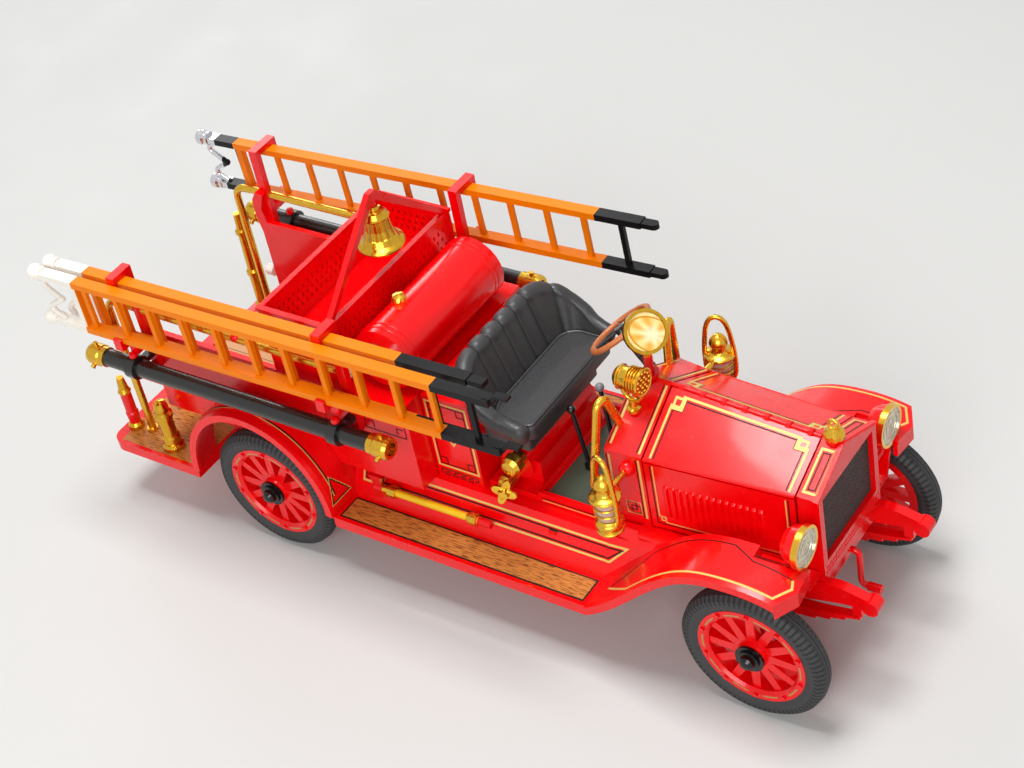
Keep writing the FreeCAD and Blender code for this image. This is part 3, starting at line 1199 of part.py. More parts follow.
# Brass handrails at the rear and grab rails beside the cowl
rail_foot_z = board_top_z + 0.1
rails = []
for s in (1, -1):
    y = s * handrail_y
    rail = bent_tube([(handrail_rear_x, y, rail_foot_z), (handrail_rear_x, y, handrail_z),
                      (bracket_front_x - bracket_width / 2 - 0.05, y, handrail_z)], handrail_radius, 3.0)
    foot = Part.makeCylinder(1.2, 0.7, V(handrail_rear_x, y, rail_foot_z))
    rail = joined([rail, foot]).cut(posts)
    rails += rail.Solids
    x = cowl_rear_x
    grab = bent_tube([(x + 1.2, s * (grab_y - 2.6), 34.0), (x - 2.0, s * grab_y, 34.3),
                      (x - 0.4, s * (grab_y - 2.9), cowl_rear_peak_z + 1.8),
                      (x, s * (grab_y - 4.9), cowl_rear_peak_z + 2.0),
                      (x + 1.0, s * (grab_y - 7.3), cowl_rear_peak_z - 6.2)], handrail_radius, 1.0)
    rails.append(grab.cut(cowl_skin))
save("handrails", rails)

# Play pipes and extinguisher that stand on the rear step
stand_z = board_top_z + 0.1
step_x = step_rear_x + 3.0
right_pipe = turned([(0, 0), (1.7, 0), (1.7, 1.0), (1.2, 1.6), (1.4, 4.2), (1.2, 4.6), (1.2, 9.6), (1.45, 10.0),
                     (1.1, 10.8), (0.8, 13.6), (0, 13.6)], (step_x, 5.4 - board_half_width, stand_z), (0, 0, 1))
left_pipe = turned([(0, 0), (1.7, 0), (1.7, 1.2), (1.3, 1.8), (1.3, 9.0), (1.6, 9.4), (1.6, 10.2), (1.2, 10.8),
                    (1.0, 20.0), (1.4, 20.4), (1.4, 21.2), (0.95, 21.6), (0.75, 25.6), (0, 25.6)],
                   (step_x, board_half_width - 4.4, stand_z), (0, 0, 1))
bottle = turned([(0, 0), (2.3, 0), (2.3, 0.9), (1.7, 1.3), (2.0, 2.0), (2.0, 3.2), (1.6, 3.6), (1.6, 8.0),
                 (2.0, 8.4), (2.0, 9.2), (1.4, 9.8), (1.6, 10.8), (1.2, 12.2), (0, 12.6)],
                (step_x + 12.2, 3.6 - board_half_width, stand_z), (0, 0, 1))
save("stowed_nozzles", [right_pipe, left_pipe, bottle])

# Lanterns on arms from the cowl
lanterns = []
for s in (1, -1):
    y = s * lantern_y
    lantern = turned([(0, 0), (2.6, 0), (2.6, 0.8), (1.9, 1.3), (1.9, 1.8), (2.5, 2.2), (2.5, 2.8), (2.0, 3.0),
                      (2.2, 5.8), (2.0, 8.8), (2.6, 9.1), (2.9, 9.9), (2.4, 10.5), (1.8, 12.2), (1.2, 13.0),
                      (1.4, 13.6), (0.8, 14.6), (0, 14.9)], (lantern_x, y, lantern_bottom_z), (0, 0, 1))
    handle = Part.makeTorus(2.3, 0.42, V(lantern_x, y, lantern_bottom_z + 16.6), AXIS_X)
    arm_z = lantern_bottom_z + 1.0
    arm = rod((lantern_x, s * (grab_y - 2.4), arm_z), (lantern_x, s * (lantern_y - 2.2), arm_z), 0.6)
    lanterns.append(joined([lantern, handle, arm]))
save("lanterns", lanterns)

# Headlights on bracket tubes, and the searchlight on the cowl
lamp_glass = []
headlights = []
bowl_x = headlight_x - headlight_depth
for s in (1, -1):
    y = s * headlight_y
    r = headlight_radius
    bowl = turned([(0, 0), (r - 2.7, 0), (r - 1.5, 0.4), (r - 0.7, 1.5), (r - 0.35, 2.9), (r, 3.1),
                   (r, headlight_depth), (r - 0.6, headlight_depth), (r - 0.6, headlight_depth - 0.7),
                   (0, headlight_depth - 0.7)], (bowl_x, y, headlight_z), (1, 0, 0))
    arm = bent_tube([(bowl_x + 2.1, s * 11.05, headlight_z - 6.0), (bowl_x + 2.1, y, headlight_z - 6.0),
                     (bowl_x + 2.1, y, headlight_z - 2.5)], 0.65, 1.4)
    headlights.append(joined([bowl, arm]))
    lamp_glass.append(rod((headlight_x - 0.65, y, headlight_z), (headlight_x - 0.2, y, headlight_z), r - 0.65))
save("headlights", headlights)
aim = V(0.66, -0.42, 0.62).normalize()
centre = V(searchlight_x, 0, searchlight_z)
r = searchlight_radius
back = centre - aim * 2.4
drum = turned([(0, 0), (r - 2.4, 0), (r - 1.2, 0.5), (r - 0.5, 1.6), (r - 0.3, 2.8), (r, 3.0), (r, 4.0),
               (r - 0.6, 4.0), (r - 0.6, 3.3), (0, 3.3)], tuple(back), tuple(aim))
cowl_mid_peak_z = (hood_rear_peak_z + cowl_rear_peak_z) / 2
stem = Part.makeCylinder(0.9, searchlight_z - 3.2 - cowl_mid_peak_z, V(searchlight_x, 0, cowl_mid_peak_z + 0.2))
stem_foot = Part.makeCylinder(1.7, 0.8, V(searchlight_x, 0, cowl_mid_peak_z + 0.2))
save("searchlight", joined([drum, stem, stem_foot]))
lens_start = back + aim * 3.35
lamp_glass.append(turned([(0, 0), (1.3, 0), (1.3, 1.8), (1.0, 2.4), (0, 2.4)],
                         (body_rear_x - 0.05, body_half_width - 0.9, 30.6), (-1, 0, 0)))
lamp_glass.append(rod(tuple(lens_start), tuple(lens_start + aim * 0.45), r - 0.65))
save("lamp_glasses", lamp_glass)

# Hand siren on the cowl
siren_foot_z = cowl_mid_peak_z - abs(siren_y) * (cowl_mid_peak_z - 42.6) / 13.3 + 0.25
siren = joined([turned([(0, 0), (1.2, 0), (2.0, 0.4), (2.0, 2.6), (2.6, 3.0), (2.7, 5.2), (2.1, 5.6), (2.1, 5.9),
                        (0, 5.9)], (siren_x - 2.4, siren_y, siren_z), (1, 0, 0)),
                Part.makeCylinder(0.8, siren_z - 1.5 - siren_foot_z, V(siren_x, siren_y, siren_foot_z)),
                Part.makeCylinder(1.3, 0.9, V(siren_x, siren_y, siren_foot_z))])
save("siren", siren.cut(cowl_skin))

# Steering wheel with its shaft, in a fixed column tube that ends on the firewall
slope = math.radians(column_angle)
down = V(math.sin(slope), 0, -math.cos(slope))
wheel_centre = V(wheel_centre_x, steering_y, steering_z)
rim = Part.makeTorus(steering_rim_radius, steering_rim_wire, wheel_centre, down)
steering_parts = [rim, rod(tuple(wheel_centre - down * 0.5), tuple(wheel_centre + down * 0.7), 1.1)]
for i in range(4):
    spoke_way = FreeCAD.Rotation(down, 45 + 90 * i).multVec(AXIS_Y)
    steering_parts.append(rod(tuple(wheel_centre), tuple(wheel_centre + spoke_way * steering_rim_radius), 0.3))
steering_parts.append(rod(tuple(wheel_centre), tuple(wheel_centre + down * 4.0), 0.5))
save("steering_wheel", joined(steering_parts))
column_start = wheel_centre + down * 0.9
column = rod(tuple(column_start), tuple(column_start + down * 30), 0.95)
column = column.cut(rod(tuple(column_start - down), tuple(column_start + down * 3.6), 0.5 + axle_clearance))
column = column.cut(box(cowl_front_x - firewall_thickness - 0.05, 90, -30, 30, 0, 90))
save("steering_column", column)

# Two control levers
lever_x = front_axle_x - 40.0
levers = []
for foot, head in (((lever_x + 1.0, -1.4, floor_top_z + 0.05), (lever_x, -2.0, 45.6)),
                   ((lever_x - 4.6, -3.2, floor_top_z + 0.05), (lever_x - 6.4, -3.4, 39.2))):
    levers.append(joined([rod(foot, head, 0.45), Part.makeSphere(0.85, V(*head)),
                          Part.makeCylinder(1.0, 0.8, V(*foot))]))
save("control_levers", levers)

# Fire axe on the right splash apron
axe_y = -(board_inner_y - 0.1)
axe_z = 19.8
axe_rear_x = board_rear_x + 6.6
axe_front_x = axe_rear_x + 27.6
handle = rod((axe_rear_x, axe_y - 0.6, axe_z), (axe_front_x, axe_y - 0.6, axe_z), 0.75)
head_outline = [(axe_rear_x - 0.4, axe_z - 2.6), (axe_rear_x + 2.2, axe_z - 2.0), (axe_rear_x + 2.0, axe_z + 1.6),
                (axe_rear_x + 2.8, axe_z + 3.2), (axe_rear_x - 1.0, axe_z + 3.2), (axe_rear_x - 0.2, axe_z + 1.6)]
head = prism_y(head_outline, axe_y - 1.1, axe_y - 0.1)
save("fire_axe", joined([handle, head]))

# Brass fittings: radiator cap, tank cap, pump caps and the axe clips
fittings = [radiator_cap]
tank_cap_x = tank_x - 1.5
tank_cap_y = -6.0
tank_cap_radius = 1.5
tank_cap = turned([(0, -0.6), (tank_cap_radius, -0.6), (tank_cap_radius, 0.6), (1.15, 1.3), (0, 1.6)],
                  (tank_cap_x, tank_cap_y, tank_z + tank_radius - 0.1), (0, 0, 1))
tank_cap = scalloped(tank_cap, tank_cap_x, tank_cap_y, tank_cap_radius, 9)
fittings.append(tank_cap.cut(rod((tank_x, -9, tank_z), (tank_x, 9, tank_z), tank_radius + 0.02)))
for x, z, size in ((pump_x + 0.9, pump_low_z + 6.4, 2.1), (pump_x - 1.2, pump_low_z + 1.75, 1.6)):
    fittings.append(turned([(0, 0), (size * 0.8, 0), (size * 0.8, 1.2), (size, 1.5), (size, 3.2), (size * 0.7, 3.9),
                            (0, 4.1)], (x, -11.6, z), (0, -1, 0)))
for x in (axe_rear_x + 4.4, axe_front_x - 4.0):
    clip = rod((x - 0.9, axe_y - 0.6, axe_z), (x + 0.9, axe_y - 0.6, axe_z), 1.25)
    clip = clip.cut(rod((x - 2, axe_y - 0.6, axe_z), (x + 2, axe_y - 0.6, axe_z), 0.77))
    fittings.append(clip)
save("brass_fittings", fittings)
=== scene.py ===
import math
import bmesh
import bpy
import numpy as np
from mathutils import Matrix, Vector


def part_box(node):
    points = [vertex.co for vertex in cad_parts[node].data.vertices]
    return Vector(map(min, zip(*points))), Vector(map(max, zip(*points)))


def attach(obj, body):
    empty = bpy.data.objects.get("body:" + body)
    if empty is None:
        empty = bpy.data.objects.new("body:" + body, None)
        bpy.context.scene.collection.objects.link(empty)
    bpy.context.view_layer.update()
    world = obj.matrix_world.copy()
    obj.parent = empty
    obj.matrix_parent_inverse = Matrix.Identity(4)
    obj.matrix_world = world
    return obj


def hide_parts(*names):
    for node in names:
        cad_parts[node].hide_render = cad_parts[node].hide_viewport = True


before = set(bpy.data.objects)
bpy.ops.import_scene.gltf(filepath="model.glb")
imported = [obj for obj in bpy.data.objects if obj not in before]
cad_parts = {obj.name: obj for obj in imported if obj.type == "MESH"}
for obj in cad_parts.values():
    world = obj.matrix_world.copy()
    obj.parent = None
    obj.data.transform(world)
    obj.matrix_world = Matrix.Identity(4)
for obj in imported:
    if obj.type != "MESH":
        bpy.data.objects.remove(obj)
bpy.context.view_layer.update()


# Red mouldings: the body, hood, fenders, frame and springs of this scale model are injection-moulded ABS in
# a glossy red, cemented and screwed together. Every piece starts in this red, and the sections below repaint
# what differs.
def linear(code):
    """An sRGB hex code as a linear colour: a straight part up to 0.04045, then a power of 2.4; alpha is 1."""
    values = [int(code[i:i + 2], 16) / 255 for i in (0, 2, 4)]
    return [v / 12.92 if v <= 0.04045 else ((v + 0.055) / 1.055) ** 2.4 for v in values] + [1.0]


def feed(tree, socket, value):
    """Fill an input: a node or an output is linked, a plain value is set, and None leaves it as it is."""
    if isinstance(value, bpy.types.Node):
        value = next(output for output in value.outputs if output.enabled)
    if isinstance(value, bpy.types.NodeSocket):
        tree.links.new(value, socket)
    elif value is not None:
        socket.default_value = value


def put(tree, kind, *values, **settings):
    """Add one node, of a type and perhaps an operation or data type; values fill its inputs in order."""
    kind, _, choice = kind.partition(" ")
    node = tree.nodes.new("ShaderNode" + kind)
    if choice:
        setattr(node, "operation" if hasattr(node, "operation") else "data_type", choice)
    for name, setting in settings.items():
        setattr(node, name, setting)
    for socket, value in zip([socket for socket in node.inputs if socket.enabled], values):
        feed(tree, socket, value)
    return node


def finish(name, code, roughness, dark=0.75, grain=1.7, stretch=(1, 1, 1), bump=0.00002, metallic=0.0,
           coat=0.0, specular=0.5):
    """A moulded or plated surface with an unevenness whose patches are about grain millimetres wide.

    One noise darkens the colour towards its dark share, spreads the roughness a fifth either way and lifts
    the skin by bump metres; stretch draws the patches out along the axes."""
    material = bpy.data.materials.new(name)
    material.use_nodes = True
    tree = material.node_tree
    at = put(tree, "Mapping", put(tree, "TexCoord").outputs["Object"], None, None, stretch)
    wave = put(tree, "TexNoise", at, 1000 / grain, 3.0)
    colour = linear(code)
    shade = [c * dark for c in colour[:3]] + [1.0]
    for socket, value in (
            ("Base Color", put(tree, "Mix RGBA", wave, shade, colour)),
            ("Roughness", put(tree, "MapRange", wave, 0.3, 0.7, roughness * 0.8, roughness * 1.25)),
            ("Normal", put(tree, "Bump", 0.6, bump, None, wave)),
            ("Metallic", metallic), ("Specular IOR Level", specular), ("Coat Weight", coat),
            ("Coat Roughness", 0.06)):
        feed(tree, tree.nodes["Principled BSDF"].inputs[socket], value)
    return material


def red_plastic(name):
    """Polished red ABS: a deep even colour under a thin clear coat, with the mould's own soft patches."""
    return finish(name, "EE0006", 0.24, dark=0.92, grain=4.5, bump=0.000005, coat=0.22, specular=0.3)


def paint(material, *nodes):
    """Give CAD nodes one material all over."""
    for name in nodes:
        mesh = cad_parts[name].data
        mesh.materials.clear()
        mesh.materials.append(material)


red = red_plastic("red_gloss_plastic")
paint(red, *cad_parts.keys())


# Tyres: solid rings of dark grey moulded rubber, pushed over the rims. Cross lugs cut both shoulders of the
# tread and three fine grooves run round its crown, and the cuts and grooves are painted darker as shade; the
# walls are smooth, so they shine a little more.
hub_z = 0.0143
front_x = sum(corner[0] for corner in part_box("front_axle")) / 2
rear_x = sum(corner[0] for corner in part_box("tyre_rear_left")) / 2
front_track, rear_track = 0.023, 0.0236
tread_radius, crown_width, shoulder_width = 0.01235, 0.0009, 0.00222
groove_pitch, lugs = 0.0006, 78


def place(tree):
    """The X, Y and Z of every point of the surface, in the object's own coordinates, in metres."""
    return put(tree, "SeparateXYZ", put(tree, "TexCoord").outputs["Object"]).outputs


def polar(tree, u, v, u0, v0):
    """Distance and angle in a plane about the point (u0, v0)."""
    du, dv = put(tree, "Math SUBTRACT", u, u0), put(tree, "Math SUBTRACT", v, v0)
    far = put(tree, "VectorMath LENGTH", put(tree, "CombineXYZ", du, dv, 0.0))
    return far, put(tree, "Math ARCTAN2", dv, du)


def zone(tree, *limits):
    """1 where each value lies between its low and high limit, None being no limit, and 0 elsewhere."""
    mask = 1.0
    for value, low, high in limits:
        for test, limit in (("Math GREATER_THAN", low), ("Math LESS_THAN", high)):
            if limit is not None:
                mask = put(tree, "Math MULTIPLY", mask, put(tree, test, value, limit))
    return mask


def relief(material, height, depth):
    """Raise a surface by a pattern of heights from 0 to 1, over the unevenness that it already has."""
    tree = material.node_tree
    socket = tree.nodes["Principled BSDF"].inputs["Normal"]
    feed(tree, socket, put(tree, "Bump", 1.0, depth, None, height, socket.links[0].from_socket))


def overlay(material, mask, code, roughness=None, metallic=None):
    """Lay another colour and finish over a surface where the mask is 1."""
    tree = material.node_tree
    inputs = tree.nodes["Principled BSDF"].inputs
    below = inputs["Base Color"].links[0].from_socket
    feed(tree, inputs["Base Color"], put(tree, "Mix RGBA", mask, below, linear(code)))
    for name, value in (("Roughness", roughness), ("Metallic", metallic)):
        if value is not None:
            below = inputs[name].links[0].from_socket if inputs[name].links else inputs[name].default_value
            feed(tree, inputs[name], put(tree, "Mix FLOAT", mask, below, value))


def tyre_rubber(name, axle_x, track):
    """Moulded rubber with painted shade in its grooves; its tread follows the distance and angle round one
    axle and the tyre's middle.
    """
    material = finish(name, "38383A", 0.62, dark=0.6, grain=0.4, bump=0.00001)
    tree = material.node_tree
    x, y, z = place(tree)
    far, angle = polar(tree, x, z, axle_x, hub_z)
    off = put(tree, "Math ABSOLUTE", put(tree, "Math SUBTRACT", put(tree, "Math ABSOLUTE", y), track))
    lug = put(tree, "Math FRACT", put(tree, "Math MULTIPLY", angle, lugs / (2 * math.pi)))
    groove = put(tree, "Math FRACT", put(tree, "Math DIVIDE", off, groove_pitch))
    shoulder = zone(tree, (off, crown_width, shoulder_width), (far, tread_radius, None), (lug, 0.42, None))
    crown = zone(tree, (off, None, crown_width), (groove, 0.3, None))
    wall = put(tree, "Math MULTIPLY", zone(tree, (far, None, tread_radius)), 0.8)
    height = put(tree, "Math ADD", put(tree, "Math ADD", shoulder, crown), wall)
    relief(material, height, 0.0004)
    # Painted shade: the low parts of the tread, its lug cuts and grooves, are coloured darker and duller.
    overlay(material, zone(tree, (height, None, 0.5)), "161617", 0.75)
    return material


paint(tyre_rubber("tyre_rubber_front", front_x, front_track), "tyre_front_left", "tyre_front_right")
paint(tyre_rubber("tyre_rubber_rear", rear_x, rear_track), "tyre_rear_left", "tyre_rear_right")


# Wheels: red ABS mouldings with twelve spokes, held by a cap of gloss black ABS. Gold dashes are printed
# between the ten studs of the rim, with a dark red line of painted shade in the step beside them.
stud_count, hub_radius = 10, 0.00284
dash_inner, dash_outer = 0.0095, 0.00982


def wheel_paint(name, axle_x, track):
    """Red plastic with dashes, a ring of painted shade and a disc drawn round one axle on the outer face."""
    material = red_plastic(name)
    tree = material.node_tree
    x, y, z = place(tree)
    far, angle = polar(tree, x, z, axle_x, hub_z)
    side_y = put(tree, "Math ABSOLUTE", y)
    face = (side_y, track + 0.0012, None)
    turns = put(tree, "Math MULTIPLY", angle, stud_count / (2 * math.pi))
    between_studs = put(tree, "Math FRACT", put(tree, "Math ADD", turns, 0.5))
    dashes = zone(tree, (between_studs, 0.24, 0.76), (far, dash_inner, dash_outer), face)
    overlay(material, dashes, "B08A4A", 0.4)
    # Painted shade: a thin dark red ring in the step of the rim, inside the dashes.
    overlay(material, zone(tree, (far, dash_inner - 0.00005, dash_inner), face), "8A0008", 0.4)
    overlay(material, zone(tree, (far, None, hub_radius), (side_y, track + 0.0019, None)), "0B0B0C", 0.16)
    return material


paint(wheel_paint("wheel_red_front", front_x, front_track), "wheel_front_left", "wheel_front_right")
paint(wheel_paint("wheel_red_rear", rear_x, rear_track), "wheel_rear_left", "wheel_rear_right")


# Engine: one dark block of unpolished cast metal under the hood, screwed to the frame. It has the grainy
# skin of sand casting, and shows only when the hood is open.
paint(finish("engine_cast_dark", "2A1C1A", 0.55, dark=0.6, grain=1.4, bump=0.00004), "engine_block")


# Radiator: a dark honeycomb core behind a red moulded shell, which slides over the front of the hood. Each
# shoulder of the shell has a frame printed in gold ink with a thinner black one inside it.
SIDES = (("left", 1), ("right", -1))
core_cell = 0.00055
core = finish("radiator_core_dark", "4A3A38", 0.6, dark=0.6, grain=0.83)
tree = core.node_tree
x, y, z = place(tree)
waves = 2 * math.pi / core_cell
rows, columns = (put(tree, "Math SINE", put(tree, "Math MULTIPLY", value, waves)) for value in (y, z))
honeycomb = put(tree, "Math MULTIPLY", rows, columns)
relief(core, honeycomb, 0.0002)
overlay(core, zone(tree, (honeycomb, 0.35, None)), "241A19", 0.7)
paint(core, "radiator_core")

# Printed ink is too thin to stand up, so it gives only its colour and a duller gloss
gold_line = finish("gold_print", "E6C86C", 0.4, dark=0.8, grain=0.33, bump=0.000002, metallic=0.1,
                   specular=0.3)
black_line = finish("black_print", "2A0A08", 0.5, dark=0.6, grain=0.33, bump=0.000002, specular=0.2)
broad, thin, line_gap = 0.00042, 0.00024, 0.0006
line_lift = 0.00003


def new_object(name, points, faces, material, body="chassis", slot="brass", smooth=False):
    """A new piece from arrays of points and faces in one material; it rides on a body, and its slot is not
    used.
    """
    mesh = bpy.data.meshes.new(name)
    mesh.from_pydata(points.tolist(), [], faces.tolist())
    mesh.polygons.foreach_set("use_smooth", [smooth] * len(mesh.polygons))
    mesh.materials.append(material)
    obj = bpy.data.objects.new(name, mesh)
    bpy.context.scene.collection.objects.link(obj)
    if body:
        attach(obj, body)
    return obj


def ribbons(paths, width, outward, step=0.0006):
    """Flat bands along corner points, facing outward.

    Every corner moves half the width to both sides along its mitre, square to the path; each straight run is
    then cut into equal rows no longer than step, and neighbouring rows are joined by quads. A path whose
    last point repeats its first is closed, so its ends are mitred too."""
    points, faces, count = [], [], 0
    for path in paths:
        path = np.array(path, float)
        run = np.diff(path, axis=0)
        length = np.linalg.norm(run, axis=1)
        side = np.cross(outward, run / length[:, None])
        side /= np.linalg.norm(side, axis=1)[:, None]
        closed = np.allclose(path[0], path[-1])
        before = np.vstack([side[-1:] if closed else side[:1], side])
        after = np.vstack([side, side[:1] if closed else side[-1:]])
        mitre = (before + after) / (1 + np.sum(before * after, axis=1))[:, None] * width / 2
        cuts = np.maximum(1, np.ceil(length / step).astype(int))
        at = np.concatenate([np.arange(n) / n + i for i, n in enumerate(cuts)] + [[len(cuts)]])
        index = np.minimum(at.astype(int), len(cuts) - 1)
        share = (at - index)[:, None, None]
        edge = np.stack([path - mitre, path + mitre], axis=1)
        rows = edge[index] * (1 - share) + edge[index + 1] * share
        first = np.arange(len(rows) - 1) * 2 + count
        faces.append(np.stack([first, first + 2, first + 3, first + 1], axis=1))
        points.append(rows.reshape(-1, 3))
        count += len(rows) * 2
    return np.vstack(points), np.vstack(faces)


def lay(obj, node, way, lift=line_lift):
    """Lay a flat piece on a CAD piece, along an axis or onto the nearest surface, lifted by a hair."""
    wrap = obj.modifiers.new("lay", "SHRINKWRAP")
    wrap.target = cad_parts[node]
    wrap.offset = lift
    wrap.wrap_mode = "ABOVE_SURFACE"
    if way == "nearest":
        wrap.wrap_method = "NEAREST_SURFACEPOINT"
    else:
        wrap.wrap_method = "PROJECT"
        setattr(wrap, "use_project_" + way[1].lower(), True)
        wrap.use_positive_direction = way[0] == "+"
        wrap.use_negative_direction = way[0] == "-"
    graph = bpy.context.evaluated_depsgraph_get()
    obj.data = bpy.data.meshes.new_from_object(obj.evaluated_get(graph))
    obj.modifiers.clear()


def printed(name, paths, width, node, way, material, body="chassis", lift=line_lift):
    """Lines printed on both halves of a CAD piece: flat bands outside the model drop straight onto it.

    Paths hold (x, z) for lines on a side, and (x, y) of the left half for lines on top. A star in a name
    stands for left and right."""
    outside = 0.06
    for side_name, side in SIDES:
        if way == "side":
            outward, drop = (0, side, 0), "-Y" if side > 0 else "+Y"
            bands = [np.insert(np.array(path, float), 1, side * outside, axis=1) for path in paths]
        else:
            outward, drop = (0, 0, 1), "-Z"
            bands = [np.insert(np.array(path, float) * (1, side), 2, outside, axis=1) for path in paths]
        lines, piece, rides = (text.replace("*", side_name) for text in (name, node, body))
        lay(new_object(lines, *ribbons(bands, width, outward), material, rides), piece, drop, lift)


def framed(u0, u1, v0, v1, by=0.0):
    """A rectangle moved inwards by a distance, as a closed path."""
    u0, u1, v0, v1 = u0 + by, u1 - by, v0 + by, v1 - by
    return [(u0, v0), (u1, v0), (u1, v1), (u0, v1), (u0, v0)]


shell_low, shell_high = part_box("radiator_shell")
for gap, width, ink in ((0.0, broad, gold_line), (line_gap, thin, black_line)):
    path = framed(shell_low[0] + 0.0008, shell_high[0] - 0.0009, 0.0022, 0.0099, gap)
    printed("shoulder_" + ink.name + "_*", [path], width, "radiator_shell", "top", ink)


# Serrated bead: short teeth moulded across the front edge of the radiator's roof and in two rows on its
# lower bar. They are part of the red ABS shell, taper outwards and stand an eighth of a millimetre high.
def bead_places(path, pitch):
    """Places along a path, a pitch apart from half a pitch in, and the direction of the run at each."""
    run = np.diff(path, axis=0)
    length = np.linalg.norm(run, axis=1)
    total = np.concatenate([[0], np.cumsum(length)])
    along = np.arange(pitch / 2, total[-1], pitch)
    index = np.minimum(np.searchsorted(total, along) - 1, len(run) - 1)
    at = path[index] + (along - total[index])[:, None] * (run / length[:, None])[index]
    return at, (run / length[:, None])[index]


roof = np.array([(-0.0112, 0.0424), (0.0, 0.0475), (0.0112, 0.0424)])
bar = np.array([(-0.0104, 0.0262), (0.0104, 0.0262)])
bead_lines = ((roof, 0.00048), (bar, 0.0006), (bar - (0, 0.001), 0.0006))
at, along = (np.vstack(arrays)[:, None] for arrays in zip(*(bead_places(*line) for line in bead_lines)))
across = np.stack([-along[..., 1], along[..., 0]], axis=-1)
tooth_half = np.array([(-1, -1), (1, -1), (1, 1), (-1, 1)]) * (0.0003, 0.00011)
tooth = np.concatenate([tooth_half, tooth_half * 0.7])
depth = np.repeat((-0.00005, 0.00012), 4)
flat = at + across * tooth[:, :1] + along * tooth[:, 1:]
points = np.concatenate([np.broadcast_to(shell_high[0] + depth, flat.shape[:2])[..., None], flat], axis=2)
faces = np.array([(4, 5, 6, 7), (0, 1, 5, 4), (1, 2, 6, 5), (2, 3, 7, 6), (3, 0, 4, 7)])
faces = (faces[None] + np.arange(len(flat))[:, None, None] * len(tooth)).reshape(-1, 4)
new_object("radiator_bead", points.reshape(-1, 3), faces, red, slot="red_paint")


# Hood lines: gold and black ink on the four red leaves of the hood. Each half has one frame that crosses the
# fold, with a square key in its four corners, and the black line lies inside the gold one on top and outside
# it below.
hood_low, hood_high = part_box("hood_top_left")
key = 0.0018
hood_x0, hood_x1 = hood_low[0] + 0.0012, hood_high[0] - 0.0012
ridge_y, fold_rear_y, fold_front_y = 0.0016, 0.0124, 0.0106
key_u, key_v = key / (hood_x1 - hood_x0), key / (fold_rear_y - ridge_y)
gap_u, gap_v = 0.00062 / (hood_x1 - hood_x0), 0.00062 / (fold_rear_y - ridge_y)


def hood_top(corners):
    """Places on the left top leaf: u goes from its rear to its front edge, v from the ridge to the fold."""
    u, v = np.array(corners).T
    fold_y = fold_rear_y + (fold_front_y - fold_rear_y) * u
    return np.stack([hood_x0 + (hood_x1 - hood_x0) * u, ridge_y + (fold_y - ridge_y) * v], axis=1)


def notched(u, v):
    """Three sides of a frame, set in by u and v, that step round a key at both corners of the ridge."""
    return [(u, 1), (u, key_v + v), (key_u + u, key_v + v), (key_u + u, v), (1 - key_u - u, v),
            (1 - key_u - u, key_v + v), (1 - u, key_v + v), (1 - u, 1)]


keys = [framed(u + way * gap_u * 0.6, u + way * (gap_u * 0.6 + key_u), gap_v * 0.6, gap_v * 0.6 + key_v)
        for u, way in ((0, 1), (1, -1))]
gold_paths = [hood_top(corners) for corners in [notched(0, 0)] + keys]
leaf = "hood_top_*"
printed("hood_top_gold_*", gold_paths, broad, leaf, "top", gold_line, leaf)
printed("hood_top_black_*", [hood_top(notched(gap_u, gap_v))], thin, leaf, "top", black_line, leaf, 0.00002)

low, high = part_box("hood_side_left")
u0, u1, v0, v1 = low[0] + 0.0012, high[0] - 0.0012, low[2] + 0.0012, high[2] - 0.0005
inner, square = 0.0005, key + 0.0008
gold_path = [(u0 + inner, v1), (u0 + inner, v0 + key), (u0 + key, v0 + key), (u0 + key, v0 + inner),
             (u1 - key, v0 + inner), (u1 - key, v0 + key), (u1 - inner, v0 + key), (u1 - inner, v1)]
squares = [framed(u, u + square, v0, v0 + square, 0.0009) for u in (u0, u1 - square)]
black_path = [(u0, v1), (u0, v0), (u1, v0), (u1, v1)]
leaf = "hood_side_*"
printed("hood_side_black_*", [black_path], thin, leaf, "side", black_line, leaf)
printed("hood_side_gold_*", [gold_path] + squares, thin, leaf, "side", gold_line, leaf)


# Louvres: fifteen ribs on each side leaf of the hood, in the same red ABS. They are pressed outwards on the
# real engine and moulded on here, rounded across and at both ends.
louvre_count, louvre_places, first_place = 15, 22, 5
louvre_z, louvre_rise, louvre_half, louvre_reach = 0.0334, 0.0006, 0.00048, 0.0040


def net(rows, columns, closed=True):
    """Quads between neighbouring rows of points; closed joins the last column to the first."""
    i, j = np.meshgrid(np.arange(rows - 1), np.arange(columns if closed else columns - 1), indexing="ij")
    here, along = i * columns + j, i * columns + (j + 1) % columns
    return np.stack([here, along, along + columns, here + columns], axis=-1).reshape(-1, 4)


def repeated(shape, faces, places):
    """One small shape set down at many places, as arrays of points and faces."""
    places = np.array(places, float)
    points = (shape[None] + places[:, None]).reshape(-1, 3)
    step = np.arange(len(places))[:, None, None] * len(shape)
    return points, (faces[None] + step).reshape(-1, faces.shape[1])


def solid(name, shape, material, slot, body="chassis"):
    """A rounded piece: doubles merged at its poles, faces turned outwards, and shaded smoothly."""
    obj = new_object(name, shape[0], shape[1], material, body, slot, True)
    mesh = bmesh.new()
    mesh.from_mesh(obj.data)
    bmesh.ops.remove_doubles(mesh, verts=mesh.verts, dist=1e-7)
    bmesh.ops.recalc_face_normals(mesh, faces=mesh.faces)
    mesh.to_mesh(obj.data)
    mesh.free()
    obj.data.set_sharp_from_angle(angle=math.radians(38))
    return obj


